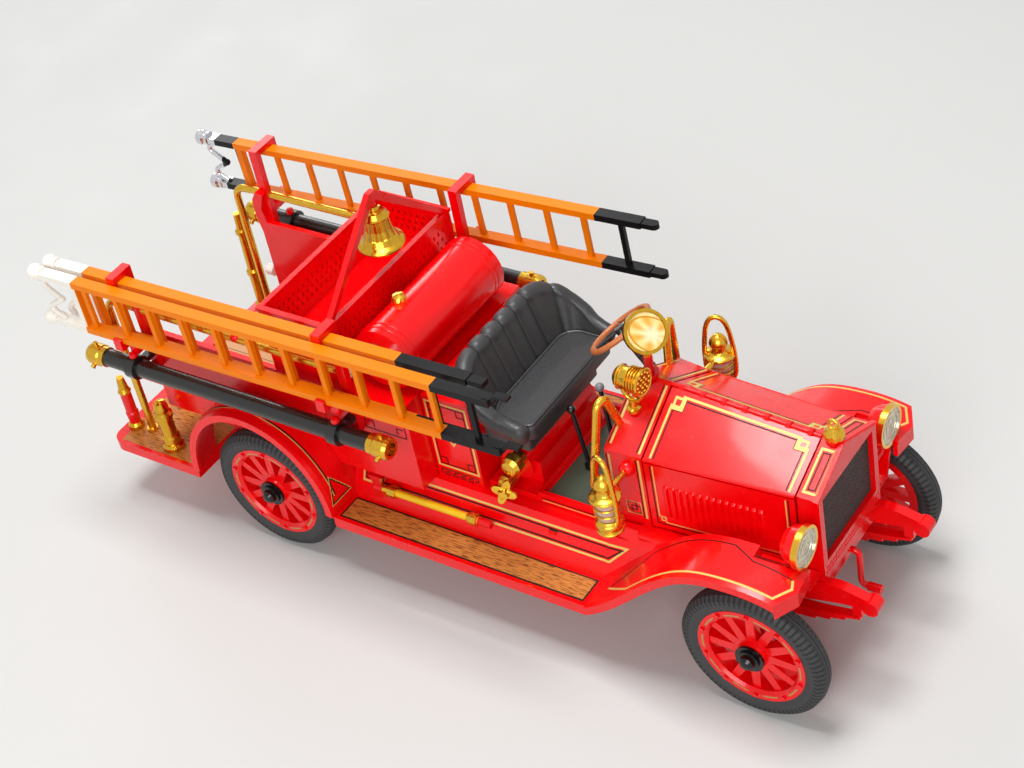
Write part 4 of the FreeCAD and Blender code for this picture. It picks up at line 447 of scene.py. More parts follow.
# A rib is a grid across and along it; its height falls off by a power near each edge, steeper at the ends
across, along = np.meshgrid(np.linspace(-1, 1, 11), np.linspace(-1, 1, 15), indexing="xy")
rise = (1 - np.abs(across) ** 2.5) ** 0.4 * (1 - np.abs(along) ** 12) ** 0.3
louvre = np.stack([across * louvre_half, rise * louvre_rise, along * louvre_reach], axis=-1).reshape(-1, 3)
low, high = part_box("hood_side_left")
share = ((np.arange(louvre_count) + first_place) / louvre_places)[:, None]
front_end = np.array((high[0] - 0.00008, 0.01105, louvre_z))
rear_end = np.array((low[0] - 0.00008, 0.01285, louvre_z))
points, faces = repeated(louvre, net(15, 11), front_end + (rear_end - front_end) * share)
for side_name, side in SIDES:
    solid("louvres_" + side_name, (points * (1, side, 1), faces), red, "red_paint", "hood_side_" + side_name)


# Ridge hinge: short red knuckles in a row along the rod on which both halves of the hood turn. They are
# turned barrels with chamfered ends, and stay with the chassis.
def turned(profile, at, axis=(0, 0, 1), around=40, lobes=0, depth=0.0):
    """A turned shape: every (radius, height) of the profile, in millimetres, swings round an axis.

    With lobes, the radius is cut in between them by a depth, as a share, along a cosine."""
    radius, height = (np.array(profile, float) / 1000).T
    angle = np.linspace(0, 2 * math.pi, around, endpoint=False)
    wave = 1 - depth * (1 - np.cos(lobes * angle)) / 2
    points = np.stack([radius[:, None] * np.cos(angle) * wave, radius[:, None] * np.sin(angle) * wave,
                       np.broadcast_to(height[:, None], (len(radius), around))], axis=-1).reshape(-1, 3)
    across = Vector((0, 0, 1)).rotation_difference(Vector(axis)).to_matrix()
    return points @ np.array(across).T + np.array(at), net(len(radius), around)


knuckle_pitch = 0.0042
knuckle_x = np.arange(hood_low[0] + 0.0012, hood_high[0] - 0.0008, knuckle_pitch)
rod_z = np.interp(knuckle_x, (hood_low[0], hood_high[0]), (hood_high[2] - 0.0004, shell_high[2] - 0.0007))
barrel_profile = ((0, 0), (0.72, 0), (0.82, 0.12), (0.82, 0.88), (0.72, 1.0), (0, 1.0))
barrel = turned(barrel_profile, (0, 0, 0), (1, 0, 0), 20)
knuckles = np.stack([knuckle_x, 0 * knuckle_x, rod_z], axis=1)
solid("hinge_knuckles", repeated(*barrel, knuckles), red, "red_paint")


# Hood sills: a red ledge along the foot of each hood side, moulded with the frame's cover. It has soft
# corners and runs into the inner wall of the front fender.
def soft_square(wave):
    """A cosine or sine with its square root taken, which turns a circle into a soft-cornered square."""
    return np.sign(wave) * np.sqrt(np.abs(wave))


turn = np.linspace(0, 2 * math.pi, 24, endpoint=False)
sill_x = np.array([low[0] - 0.002, low[0] - 0.002, low[0] - 0.0016, high[0] - 0.0004, high[0] - 0.0004])
sill_size = np.array([0.0, 0.8, 1.0, 1.0, 0.0])[:, None]
sill_y = 0.0141 + 0.0019 * soft_square(np.cos(turn)) * sill_size
sill_z = low[2] - 0.00112 + 0.00095 * soft_square(np.sin(turn)) * sill_size
sill = np.stack([np.broadcast_to(sill_x[:, None], sill_y.shape), sill_y, sill_z], axis=-1).reshape(-1, 3)
for side_name, side in SIDES:
    solid("hood_sill_" + side_name, (sill * (1, side, 1), net(len(sill_x), len(turn))), red, "red_paint")


# Cowl lines: a broad gold and a thin black band of ink round the front and the rear edge of the red cowl.
# Low on each side stands a traditional knot of two black squares laced through a gold one.
low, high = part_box("cowl")
knot_x, knot_z = front_x - 0.0283, 0.0297


def knot_square(u, v, half):
    """The closed path of a square about a place beside the middle of the knot."""
    return framed(knot_x + u - half, knot_x + u + half, knot_z + v - half, knot_z + v + half)


for station, label in ((hood_low[0] - 0.0010, "front"), (low[0] + 0.0008, "rear")):
    for x, width, ink in ((station, broad, gold_line), (station - 0.0005, thin, black_line)):
        band = "cowl_" + label + "_" + ink.name + "_*_"
        printed(band + "side", [[(x, 0.0275), (x, 0.0418)]], width, "cowl", "side", ink)
        printed(band + "top", [[(x, 0.0124), (x, 0.0008)]], width, "cowl", "top", ink)
laced = [knot_square(-0.0004, 0.0004, 0.0009), knot_square(0.0004, -0.0004, 0.0009)]
printed("knot_black_*", laced, 0.00022, "cowl", "side", black_line)
printed("knot_gold_*", [knot_square(0, 0, 0.0014)], 0.00018, "cowl", "side", gold_line)


# Front fenders: red moulded wings, screwed to the frame. A gold line follows the outer edge and rounds the
# tip, a black one follows the inner edge, and they meet in a point behind.
rear_point, tip_corner = (-0.0295, 0.0235), (0.0080, 0.0212)
fender_gold = (rear_point, (-0.0235, 0.0262), (0.0067, 0.0262), (0.0086, 0.0228), tip_corner)
fender_black = (tip_corner, (0.0005, 0.0210), (-0.0040, 0.0188), (-0.0215, 0.0188), rear_point)
for name, path, width, ink in (("fender_gold_*", fender_gold, broad, gold_line),
                               ("fender_black_*", fender_black, thin, black_line)):
    printed(name, [np.array(path) + (front_x, 0)], width, "front_fenders", "top", ink)


# Boards: thin inlays of stained wood let into the red running boards and the rear step, with a black edge
# all round, and tan planks on the floor of the hose bed. The grain runs fore and aft, with short dark pores
# about 1 mm apart.
low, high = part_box("running_boards")
bed_z, plank_width = 0.02, 0.0031
wood = finish("stained_wood_inlay", "D0853C", 0.45, dark=0.72, grain=2.0, stretch=(0.25, 3, 3), bump=0.00001,
              specular=0.3)
tree = wood.node_tree
x, y, z = place(tree)
at = put(tree, "Mapping", put(tree, "TexCoord").outputs["Object"], None, None, (0.42, 5.0, 1.0))
pores = put(tree, "TexNoise", at, 1000.0, 1.5)
overlay(wood, zone(tree, (pores, 0.57, None)), "7A3F18", 0.5)
overlay(wood, zone(tree, (z, bed_z, None)), "C99A6C", 0.5)
plank = put(tree, "Math FRACT", put(tree, "Math DIVIDE", y, plank_width))
overlay(wood, zone(tree, (z, bed_z, None), (plank, None, 0.06)), "5A3A22", 0.6)
middle = put(tree, "Math ABSOLUTE", y)
board = (z, None, bed_z)
inlay = zone(tree, board, (middle, 0.02066, 0.02574), (x, low[0] + 0.00126, high[0] - 0.00126))
overlay(wood, put(tree, "Math SUBTRACT", zone(tree, board, (x, low[0], None)), inlay), "1A0A06", 0.5)
paint(wood, "board_insets")


# Aprons: the red sloping walls above the running boards, moulded with them. A thin plate evens the small
# step to the front fender, and over both lies a long gold frame with a black one inside it, slanted at its
# front end.
joint_x, joint_length = high[0] - 0.00006, 0.0072
apron_slope, fender_slope = 0.412, 0.30


def joint_y(x, z):
    """Half width of the plate: it runs straight from the apron's slope to that of the fender's wall."""
    share = (x - joint_x) / joint_length
    apron_y, fender_y = 0.01935 - (z - 0.016) * apron_slope, 0.01611 + (0.023 - z) * fender_slope
    return apron_y * (1 - share) + fender_y * share


u, v = np.meshgrid(np.linspace(0, 1, 8), np.linspace(0, 1, 9), indexing="ij")
plate_x, plate_z = joint_x + joint_length * u, 0.0157 + 0.0078 * v
plate = np.stack([plate_x, joint_y(plate_x, plate_z), plate_z], axis=-1).reshape(-1, 3)
for side_name, side in SIDES:
    faces = net(8, 9, False)[:, ::side]
    new_object("apron_joint_" + side_name, plate * (1, side, 1), faces, red, slot="red_paint", smooth=True)
for gap, width, ink in ((0.0, 0.0004, gold_line), (line_gap, 0.0003, black_line)):
    u0, v0, v1 = low[0] + 0.0022 + gap, 0.0186 + gap, 0.0218 - gap
    rear_path = [(high[0], v0), (u0, v0), (u0, v1), (high[0], v1)]
    printed("apron_" + ink.name + "_*", [rear_path], width, "running_boards", "side", ink)
    end0, end1 = front_x - 0.0324 - 0.6 * gap, front_x - 0.0290 - 1.6 * gap
    front_path = [(high[0], 0, v1), (end1, 0, v1), (end0, 0, v0), (high[0], 0, v0)]
    for side_name, side in SIDES:
        points, faces = ribbons([front_path], width, (0, side, 0))
        points[:, 1] = side * (joint_y(points[:, 0], points[:, 2]) + 0.00004)
        new_object("apron_end_" + ink.name + "_" + side_name, points, faces, ink)


# Rear fenders: red moulded arches over the rear wheels, with a gold and a black line of ink along the inner
# edge. A curved plate closes each arch against the apron, and a black and gold triangle marks its front.
low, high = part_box("rear_fenders")
arch_x, arch_z = (low[0] + high[0]) / 2, 0.015
reach_x, reach_z = (high[0] - low[0]) / 2, high[2] - arch_z


def on_arch(turn, y, inward=0.0):
    """Places on the arch: a half ellipse over the wheel, moved inwards by a distance, at one y."""
    return np.stack([arch_x + (reach_x - inward) * np.cos(turn), np.full_like(turn, y),
                     arch_z + (reach_z - inward) * np.sin(turn)], axis=1)


arch_turn = np.linspace(math.radians(12), math.radians(168), 60)
plate_turn = np.linspace(0.0, 0.52, 14)
triangle = np.array([(0.0244, 0.0234), (0.0210, 0.0180), (0.0262, 0.0179), (0.0244, 0.0234)])
triangle_middle = np.array([0.0237, 0.0200])
for side_name, side in SIDES:
    for y, width, ink in ((0.0251, 0.0002, gold_line), (0.0248, 0.00032, black_line)):
        edges = [on_arch(arch_turn, side * y + step * width / 2) for step in (-1, 1)]
        obj = new_object("rear_fender_" + ink.name + "_" + side_name, np.stack(edges, axis=1).reshape(-1, 3),
                         net(len(arch_turn), 2, False), ink)
        lay(obj, "rear_fenders", "nearest")
    corners = ((0.0157, 0.0002), (0.0216, 0.0002), (0.0216, 0.0008), (0.0157, 0.0008))
    gusset = np.stack([on_arch(plate_turn, side * y, inward) for y, inward in corners], axis=1)
    ends = [np.broadcast_to(end.mean(0), (1, 4, 3)) for end in (gusset[0], gusset[-1])]
    gusset = np.concatenate([ends[0], gusset, ends[1]]).reshape(-1, 3)
    solid("fender_gusset_" + side_name, (gusset, net(16, 4)), red, "red_paint")
    for grow, width, ink in ((1.0, 0.00032, black_line), (1.12, 0.0002, gold_line)):
        corners = triangle_middle + (triangle - triangle_middle) * grow
        path = np.column_stack([np.full(4, high[0]), side * corners[:, 0], corners[:, 1]])
        points, faces = ribbons([path], width, (1, 0, 0))
        lay(new_object("gusset_" + ink.name + "_" + side_name, points, faces, ink), "rear_fenders", "nearest")


# Cab floor: a red moulded tray under the seat and the driver's feet. A grey-green rubber mat, matt and even,
# lies in it, and a gold and a black line of ink run along its outer sides.
low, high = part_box("cab_floor")
floor_mat = red_plastic("cab_floor_red")
tree = floor_mat.node_tree
x, y, z = place(tree)
mat = zone(tree, (put(tree, "Math ABSOLUTE", y), None, high[1] - 0.0012), (x, low[0] + 0.0124, None),
           (z, low[2] + 0.0015, None))
overlay(floor_mat, mat, "434B3E", 0.45, 0.0)
paint(floor_mat, "cab_floor")
for z, ink in ((low[2] + 0.0007, gold_line), (low[2] + 0.0012, black_line)):
    path = [(front_x - 0.0488, z), (front_x - 0.0336, z)]
    printed("tray_" + ink.name + "_*", [path], 0.00022, "cab_floor", "side", ink)


# Seat box: a red moulded box that carries the seat. Each side has a gold frame with a lozenge, a black frame
# with keys in its corners inside it, and a running square meander along its foot, all in ink.
low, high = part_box("seat_box")
meander_unit, meander_height = 0.0018, 0.0014
meander = np.array([(0, 0), (0, 1), (0.75, 1), (0.75, 0.4), (0.4, 0.4), (0.4, 0)])
count = int((high[0] - low[0] - 0.0014) / meander_unit)
strip = meander[None] + np.stack([np.arange(count), np.zeros(count)], axis=1)[:, None]
strip = strip.reshape(-1, 2) * (meander_unit, meander_height) + (low[0] + 0.0009, low[2] + 0.0006)
u0, u1, v0, v1 = low[0] + 0.0007, high[0] - 0.0007, low[2] + 0.0030, high[2] - 0.0012
corners = [(u, across, v, up) for u, across in ((u0, 1), (u1, -1)) for v, up in ((v0, 1), (v1, -1))]
hooks = []
for u, across, v, up in corners:
    near_u, far_u, near_v, far_v = u + across * 0.0006, u + across * 0.0022, v + up * 0.0006, v + up * 0.0022
    hooks.append([(near_u, far_v), (far_u, far_v), (far_u, near_v), (u + across * 0.0011, near_v)])
middle = np.array([(u0 + u1) / 2, (v0 + v1) / 2])
lozenge = middle + np.array([(0, -1), (1, 0), (0, 1), (-1, 0), (0, -1)]) * (0.0013, 0.0020)
frame_and_hooks = [framed(u0, u1, v0, v1, line_gap)] + hooks
printed("seat_box_gold_*", [framed(u0, u1, v0, v1), lozenge], broad, "seat_box", "side", gold_line)
printed("seat_box_black_*", frame_and_hooks, thin, "seat_box", "side", black_line)
printed("key_strip_*", [strip], 0.00022, "seat_box", "side", black_line)


# Drain valve: a star wheel with four lobes on a short pipe, under the right corner of the seat. It is gold
# plated ABS, which mirrors its surroundings, and is pushed into the pump.
def joined(*shapes):
    """Several arrays of points and faces as one."""
    starts = np.cumsum([0] + [len(points) for points, _ in shapes])
    faces = [faces + start for (_, faces), start in zip(shapes, starts)]
    return np.vstack([points for points, _ in shapes]), np.vstack(faces)


def tube(path, radius, normal, around=10):
    """A round bar along a path in one plane: circles stand square to it, and both ends are closed."""
    path = np.array(path, float)
    way = np.gradient(path, axis=0)
    way /= np.linalg.norm(way, axis=1)[:, None]
    normal = np.array(normal, float) / np.linalg.norm(normal)
    side = np.cross(way, normal)
    angle = np.linspace(0, 2 * math.pi, around, endpoint=False)
    size = np.concatenate([[0.0], np.full(len(path), radius), [0.0]])
    path, side = (np.concatenate([v[:1], v, v[-1:]]) for v in (path, side))
    circle = side[:, None] * np.cos(angle)[None, :, None] + normal * np.sin(angle)[None, :, None]
    points = path[:, None] + circle * size[:, None, None]
    return points.reshape(-1, 3), net(len(path), around)


brass = finish("gold_plating", "F2BE42", 0.24, dark=0.72, grain=0.67, bump=0.000012, metallic=1.0)
valve_at = np.array([front_x - 0.0552, -0.0165, 0.0266])
star_wheel = ((0, 0), (2.5, 0), (2.7, 0.25), (2.7, 0.6), (2.5, 0.85), (1.2, 0.9), (1.2, 1.5), (0.9, 1.8),
              (0, 1.8))
star = turned(star_wheel, valve_at, (0.35, -0.85, 0.3), 64, 4, 0.5)
pipe = valve_at + np.array([(0, 0, 0), (0, 0.0015, 0), (0, 0.003, 0.0002), (0, 0.0052, 0.0004)])
solid("drain_valve", joined(star, tube(pipe, 0.0008, (0, 0, 1))), brass, "brass")


# Seat: one moulding of black vinyl with a leather grain, screwed to the seat box. The padded back has sewn
# upright channels and bends round into two low rolled arms; the cushion has a piped edge and stands on a
# plain pan. The sizes of this section are in millimetres, with X from the front axle.
cushion_z, cushion_rear, cushion_front, cushion_half = 42.6, -58.0, -47.6, 14.2
corner_x, corner_y, corner_radius, arm_length = -53.6, 9.5, 4.6, 5.9
seam_pitch, roll, lean = 4.2, 1.45, 0.33


def seat_place(points):
    """Millimetres from the front axle to metres in the model."""
    return points / 1000 + np.array([front_x, 0, 0])


def seat_shell():
    """The back and arms: a rolled wall carried along a U in plan.

    The foot line runs straight along the back, round a quarter circle and forward along each arm. At each
    place the wall goes up from the cushion with a lean, over a half circle, and down to its lower edge, set
    in by a square. Between two seams the pad swells, a wide bell curve falls away to each seam, and a narrow
    one cuts the seam in. Over the last stretch of an arm the wall shrinks to a point on a quarter circle."""
    half = corner_y + corner_radius * math.pi / 2 + arm_length
    along = np.linspace(-half, half, 331)
    far = np.abs(along)
    turn = np.clip((far - corner_y) / corner_radius, 0, math.pi / 2)
    ahead = np.clip(far - corner_y - corner_radius * math.pi / 2, 0, None)
    foot_x = corner_x - corner_radius * np.cos(turn) + ahead
    foot_y = np.minimum(far, corner_y) + corner_radius * np.sin(turn)
    top = np.interp(far, (0, 9.5, 11.5, 13.2, 14.4, 15.6, 16.8, 18.5, 20.8, half),
                    (53.2, 53.2, 52.7, 51.3, 49.4, 47.5, 46.0, 44.9, 44.2, 43.7))
    foot = np.interp(far, (0, 9.5, 13, 15, 16.8, 18.5, half), (44.2, 44.2, 43.5, 41.8, 40.4, 39.8, 39.3))
    top, foot = (np.convolve(np.pad(v, 15, "edge"), np.ones(31) / 31, "valid") for v in (top, foot))
    up, over, down = np.linspace(0, 1, 14), np.linspace(math.pi, 0, 15)[1:-1], np.linspace(0, 1, 9)
    shoulder = (top - roll)[:, None]
    inner_z = cushion_z - 0.8 + (shoulder - cushion_z + 0.8) * up
    centre = lean * (shoulder - cushion_z) + roll
    height = np.hstack([inner_z, shoulder + roll * np.sin(over),
                        shoulder + (foot[:, None] - shoulder) * down])
    out = np.hstack([lean * (inner_z - cushion_z), centre + roll * np.cos(over),
                     centre + roll - down ** 2 * 1.6])
    seam = np.abs(np.mod(along / seam_pitch + 0.5, 1) - 0.5) * seam_pitch
    padded = np.clip((14.6 - far) / 1.4, 0, 1)
    swell = ((0.4 * (1 - np.exp(-(seam / 0.7) ** 2)) - 0.22 * np.exp(-(seam / 0.14) ** 2)) * padded)[:, None]
    out = out + swell * np.concatenate([-np.ones(14), np.cos(over), np.zeros(9)])
    height = height + swell * np.concatenate([np.zeros(14), np.sin(over), np.zeros(9)])
    shrink = np.sqrt(1 - np.clip((far - half + 1.6) / 1.6, 0, 1) ** 2)[:, None]
    out, height = (v.mean(1, keepdims=True) + (v - v.mean(1, keepdims=True)) * shrink for v in (out, height))
    x = foot_x[:, None] - np.cos(turn)[:, None] * out
    y = np.sign(along)[:, None] * (foot_y[:, None] + np.sin(turn)[:, None] * out)
    y[len(along) // 2] = 0
    return seat_place(np.stack([x, y, height], axis=-1).reshape(-1, 3)), net(*x.shape)


def pad_outline(x0, x1, half_y, rear, front, inside=0.0):
    """A rounded rectangle in plan: quarter circles at the corners, with nine points along each run."""
    quarter = np.linspace(0, math.pi / 2, 13)
    corners = ((x1 - front, half_y - front, front), (x0 + rear, half_y - rear, rear),
               (x0 + rear, rear - half_y, rear), (x1 - front, front - half_y, front))
    arcs = [np.stack([x + (radius - inside) * np.cos(quarter + i * math.pi / 2),
                      y + (radius - inside) * np.sin(quarter + i * math.pi / 2)], axis=1)
            for i, (x, y, radius) in enumerate(corners)]
    share = np.linspace(0, 1, 10, endpoint=False)[1:, None]
    return np.vstack([np.vstack([arc, arc[-1] * (1 - share) + following[0] * share])
                      for arc, following in zip(arcs, arcs[1:] + arcs[:1])])


def pad(x0, x1, half_y, rear, front, rows, crown_z):
    """A pad: outlines at growing insets and heights, closed under and over by a line along its middle."""
    layers = []
    for inside, z in rows:
        outline = pad_outline(x0, x1, half_y, rear, front, inside)
        layers.append(np.column_stack([outline, np.full(len(outline), z)]))

    def spine(layer, z):
        """The line along the middle, which each point of a layer meets at its own y."""
        y = np.clip(layer[:, 1], 6 - half_y, half_y - 6)
        return np.column_stack([np.full(len(layer), (x0 + x1) / 2), y, np.full(len(layer), z)])

    under, edge = spine(layers[0], rows[0][1]), layers[-1]
    layers = [under] + layers + [edge * (1 - k) + spine(edge, crown_z) * k for k in (0.3, 0.65, 1.0)]
    return seat_place(np.vstack(layers)), net(len(layers), len(edge))


def piping(radius):
    """A round cord on the cushion's edge: circles square to the outline, which closes on itself."""
    outline = pad_outline(cushion_rear, cushion_front, cushion_half, 4.4, 1.7, 0.62)
    way = np.roll(outline, -1, axis=0) - np.roll(outline, 1, axis=0)
    way /= np.linalg.norm(way, axis=1)[:, None]
    outline, way = (np.vstack([v, v[:1]]) for v in (outline, way))
    angle = np.linspace(0, 2 * math.pi, 8, endpoint=False)
    points = np.stack([outline[:, :1] + way[:, 1:] * radius * np.cos(angle),
                       outline[:, 1:] - way[:, :1] * radius * np.cos(angle),
                       cushion_z + 0.02 + radius * np.sin(angle) + 0 * outline[:, :1]], axis=-1)
    return seat_place(points.reshape(-1, 3)), net(len(outline), 8)


cushion_rows = ((1.0, 39.2), (0.3, 39.35), (0.0, 39.8), (0.0, 41.6), (0.14, 42.15), (0.5, 42.5),
                (0.95, 42.58), (1.4, cushion_z))
pan_rows = ((0.5, 34.0), (0.0, 34.5), (0.0, 39.0), (0.5, 39.4))
leather_grain = finish("leather_grained_vinyl", "333335", 0.44, dark=0.72, grain=0.385, bump=0.00004,
                       specular=0.6)
cushion = pad(cushion_rear, cushion_front, cushion_half, 4.4, 1.7, cushion_rows, 42.75)
pan = pad(-61.0, -50.6, 12.2, 0.6, 0.9, pan_rows, 39.4)
seat_shape = joined(seat_shell(), cushion, piping(0.27), pan)
seat_piece = solid("seat_moulding", seat_shape, leather_grain, "seat_black")
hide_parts("seat")


# Steering wheel: a terracotta rim on black spokes, one moulding whose middle is painted, pinned to a black
# column. Two black levers with grey painted knobs stand beside it on the cab floor.
low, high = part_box("steering_wheel")
rim = finish("rim_brown_plastic", "C8703C", 0.32, dark=0.75, grain=1.1)
tree = rim.node_tree
centre = [(a + b) / 2 for a, b in zip(low, high)]
far = put(tree, "VectorMath DISTANCE", put(tree, "TexCoord").outputs["Object"], centre)
overlay(rim, zone(tree, (far, None, 0.0056)), "121214", 0.3)
paint(rim, "steering_wheel")
black = finish("black_plastic", "1A1918", 0.3, dark=0.6, grain=1.1, bump=0.00001, coat=0.25)
paint(black, "steering_column")
lever = finish("lever_black_plastic", "121214", 0.3, dark=0.6, grain=1.1)
tree = lever.node_tree
overlay(lever, zone(tree, (place(tree)[2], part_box("control_levers")[1][2] - 0.0016, None)), "77777C", 0.3)
paint(lever, "control_levers")


# Headlights: red moulded bowls on the radiator's shoulders, each with a plated gold rim pressed over a
# bright dish. The rim and the dish are plated, so they mirror the room.
low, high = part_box("headlights")
lamp_radius = 0.0041
lamp_y, lamp_z = (high[1] - low[1]) / 2 - lamp_radius, high[2] - lamp_radius
lamp = red_plastic("headlight_red")
tree = lamp.node_tree
x, y, z = place(tree)
far, _ = polar(tree, put(tree, "Math ABSOLUTE", y), z, lamp_y, lamp_z)
overlay(lamp, zone(tree, (x, high[0] - 0.00115, None)), "EDB638", 0.2, 1.0)
overlay(lamp, zone(tree, (far, None, 0.00352), (x, high[0] - 0.001, None)), "F4EFE2", 0.12, 0.9)
paint(lamp, "headlights")


# Searchlight: a gold plated drum in a red yoke, on a stem behind the cowl. The yoke is paint over the
# plating, so it loses the metal's shine.
search_low, search_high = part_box("searchlight")
plated = {"dark": 0.62, "grain": 0.67, "metallic": 1.0}
drum = finish("searchlight_gold", "EDB638", 0.2, **plated)
tree = drum.node_tree
overlay(drum, zone(tree, (place(tree)[2], None, search_low[2] + 0.0046)), "E0000A", 0.25, 0.0)
paint(drum, "searchlight")


# Lamp glass: clear polystyrene lenses pressed into the rims, with faint moulded rings 1.2 mm apart. The
# searchlight's lens has a painted reflection of its dish: pale gold, with warm rays and a darker ring near
# its edge, and a painted highlight that brightens its middle; the marker lamp at the rear is white.
search_y, search_z = (search_low[1] + 0.0004 + search_high[1]) / 2, search_high[2] - lamp_radius
glass = finish("clear_lens", "F6F1E0", 0.06, dark=0.97, grain=3.3, bump=0.000002, coat=0.4)
tree = glass.node_tree
x, y, z = place(tree)
far, _ = polar(tree, put(tree, "Math ABSOLUTE", y), z, lamp_y, lamp_z)
relief(glass, put(tree, "Math SINE", put(tree, "Math MULTIPLY", far, 2 * math.pi / 0.0012)), 0.00003)
overlay(glass, zone(tree, (x, None, rear_x)), "F4F2EE", 0.25)
search = ((z, 0.05, None), (x, None, front_x - 0.02))
inner, angle = polar(tree, y, z, search_y, search_z)
# Painted reflection: a pale gold tint, warm rays and a darker ring show the searchlight's dish on its lens.
painted_dish_rays = put(tree, "Math SINE", put(tree, "Math MULTIPLY", angle, 7.0))
painted_dish_rays = put(tree, "MapRange", painted_dish_rays, -1.0, 1.0, 0.0, 1.0)
# Painted highlight: the searchlight's lens is paler towards its middle.
painted_middle_highlight = put(tree, "MapRange", inner, 0.0004, 0.002, 0.9, 0.0, interpolation_type="SMOOTHSTEP")
overlay(glass, zone(tree, *search), "F3D48C", 0.12)
overlay(glass, put(tree, "Math MULTIPLY", zone(tree, *search, (inner, None, 0.0028)), painted_dish_rays), "DDA43C", 0.12)
overlay(glass, zone(tree, *search, (inner, 0.0028, 0.0031)), "C98A22", 0.12)
overlay(glass, put(tree, "Math MULTIPLY", zone(tree, *search), painted_middle_highlight), "F6E2B8", 0.12)
shader = tree.nodes["Principled BSDF"]
feed(tree, shader.inputs["Transmission Weight"],
     put(tree, "Math MULTIPLY", zone(tree, (x, rear_x, None), (z, None, 0.05)), 0.85))
shader.inputs["IOR"].default_value = 1.2
paint(glass, "lamp_glasses")


# Siren: a turned drum with four ribs and a face of small beads, hung over a bow on the right half of the
# cowl. It is gold plated ABS, and the face between the beads is painted a darker brown as shade, where the
# real face is pierced.
def eased(path, rounds=2):
    """Cut a path's corners: each run gives its points at a quarter and three quarters; the ends stay."""
    path = np.array(path, float)
    for _ in range(rounds):
        first, second = path[:-1], path[1:]
        cut = np.stack([first * 0.75 + second * 0.25, first * 0.25 + second * 0.75], axis=1)
        path = np.vstack([path[:1], cut.reshape(-1, path.shape[1]), path[-1:]])
    return path


low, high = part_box("siren")
siren_at = np.array([low[0], (low[1] + high[1]) / 2, high[2] - 0.0027])
face_x = siren_at[0] + 0.0057
rib = ((2.15, 0.0), (2.5, 0.12), (2.5, 0.34), (2.15, 0.46))
ribs = [(radius, 2.9 + 0.56 * k + step) for k in range(4) for radius, step in rib]
drum_back = [(0, 0), (0.8, 0), (1.5, 0.15), (1.9, 0.5), (2.05, 0.9), (2.35, 1.1), (2.35, 1.35), (2.1, 1.5),
             (2.1, 2.8)]
drum_face = [(2.2, 5.15), (2.7, 5.35), (2.7, 5.8), (2.5, 5.9), (2.35, 5.75), (0, 5.7)]
foot_profile = ((0, 0), (1.3, 0), (1.3, 0.7), (0.75, 1.0), (0.75, 2.4), (0, 2.4))
bow = eased([(0.9, -1.8), (0.9, -3.4), (2.0, -4.9), (4.0, -4.9), (5.1, -3.4), (4.7, -2.2)], 3) / 1000
bow = siren_at + np.insert(bow, 1, 0.0, axis=1)
beads = [(0.0, 0.0)]
for radius, count in ((0.00095, 6), (0.0019, 12)):
    turn = np.arange(count) * 2 * math.pi / count
    beads += list(zip(radius * np.cos(turn), radius * np.sin(turn)))
beads = np.insert(np.array(beads), 0, 0.0, axis=1) + (face_x, siren_at[1], siren_at[2])
rise = np.linspace(0, math.pi / 2, 4)
bead = turned(np.stack([0.32 * np.cos(rise), 0.26 * np.sin(rise)], axis=1), (0, 0, 0), (1, 0, 0), 10)
drum_shape = turned(drum_back + ribs + drum_face, siren_at, (1, 0, 0), 48)
foot_shape = turned(foot_profile, (siren_at[0] + 0.0028, siren_at[1], low[2]))
siren_shape = joined(drum_shape, tube(bow, 0.00038, (0, 1, 0)), foot_shape, repeated(*bead, beads))
horn = finish("siren_gold", "F2BE42", 0.22, dark=0.72, grain=0.67, bump=0.000012, metallic=1.0)
tree = horn.node_tree
x, y, z = place(tree)
far, _ = polar(tree, y, z, siren_at[1], siren_at[2])
# Painted shade: the face round the beads is a darker, duller brown.
overlay(horn, zone(tree, (x, face_x - 0.00015, face_x + 0.00005), (far, None, 0.0023)), "9A6010", 0.35)
siren_piece = solid("siren_drum", siren_shape, horn, "brass")
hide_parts("siren")


# Lanterns: a gold plated tank and cap with a tinted glass between them, one on each side of the cowl. Two
# side tubes meet in a high bail, and a short arm holds the lantern on a red boss.
tank_profile = ((0, 0), (2.5, 0), (2.6, 0.2), (2.6, 0.55), (2.2, 0.75), (2.35, 1.2), (2.65, 1.5), (2.65, 2.3),
                (2.3, 2.6), (2.0, 2.9), (2.0, 3.1), (0, 3.1))
pane_profile = ((0, 3.05), (1.95, 3.05), (2.15, 3.8), (2.2, 5.4), (2.15, 6.9), (1.95, 7.65), (0, 7.65))
cap_profile = ((0, 7.6), (2.0, 7.6), (3.0, 7.8), (3.05, 8.05), (2.9, 8.3), (1.9, 8.7), (1.45, 9.1),
               (1.35, 10.3), (1.8, 10.5), (1.85, 10.9), (1.5, 11.8), (0.8, 12.5), (0, 12.8))
boss_profile = ((0, -0.4), (1.5, -0.4), (1.5, 0.2), (1.25, 0.7), (0.7, 1.1), (0, 1.2))
bail_half = [(0.8, 16.8), (1.9, 15.2), (2.5, 12.0), (2.9, 8.0), (2.8, 3.6), (2.2, 2.3)]
bail = eased([(-u, v) for u, v in reversed(bail_half)] + bail_half, 3) / 1000
hoop = np.linspace(0, 2 * math.pi, 33)
hoop = np.stack([0.00236 * np.cos(hoop), 0.00236 * np.sin(hoop), 0 * hoop], axis=1)
lantern_parts, glass_parts, boss_parts = [], [], []
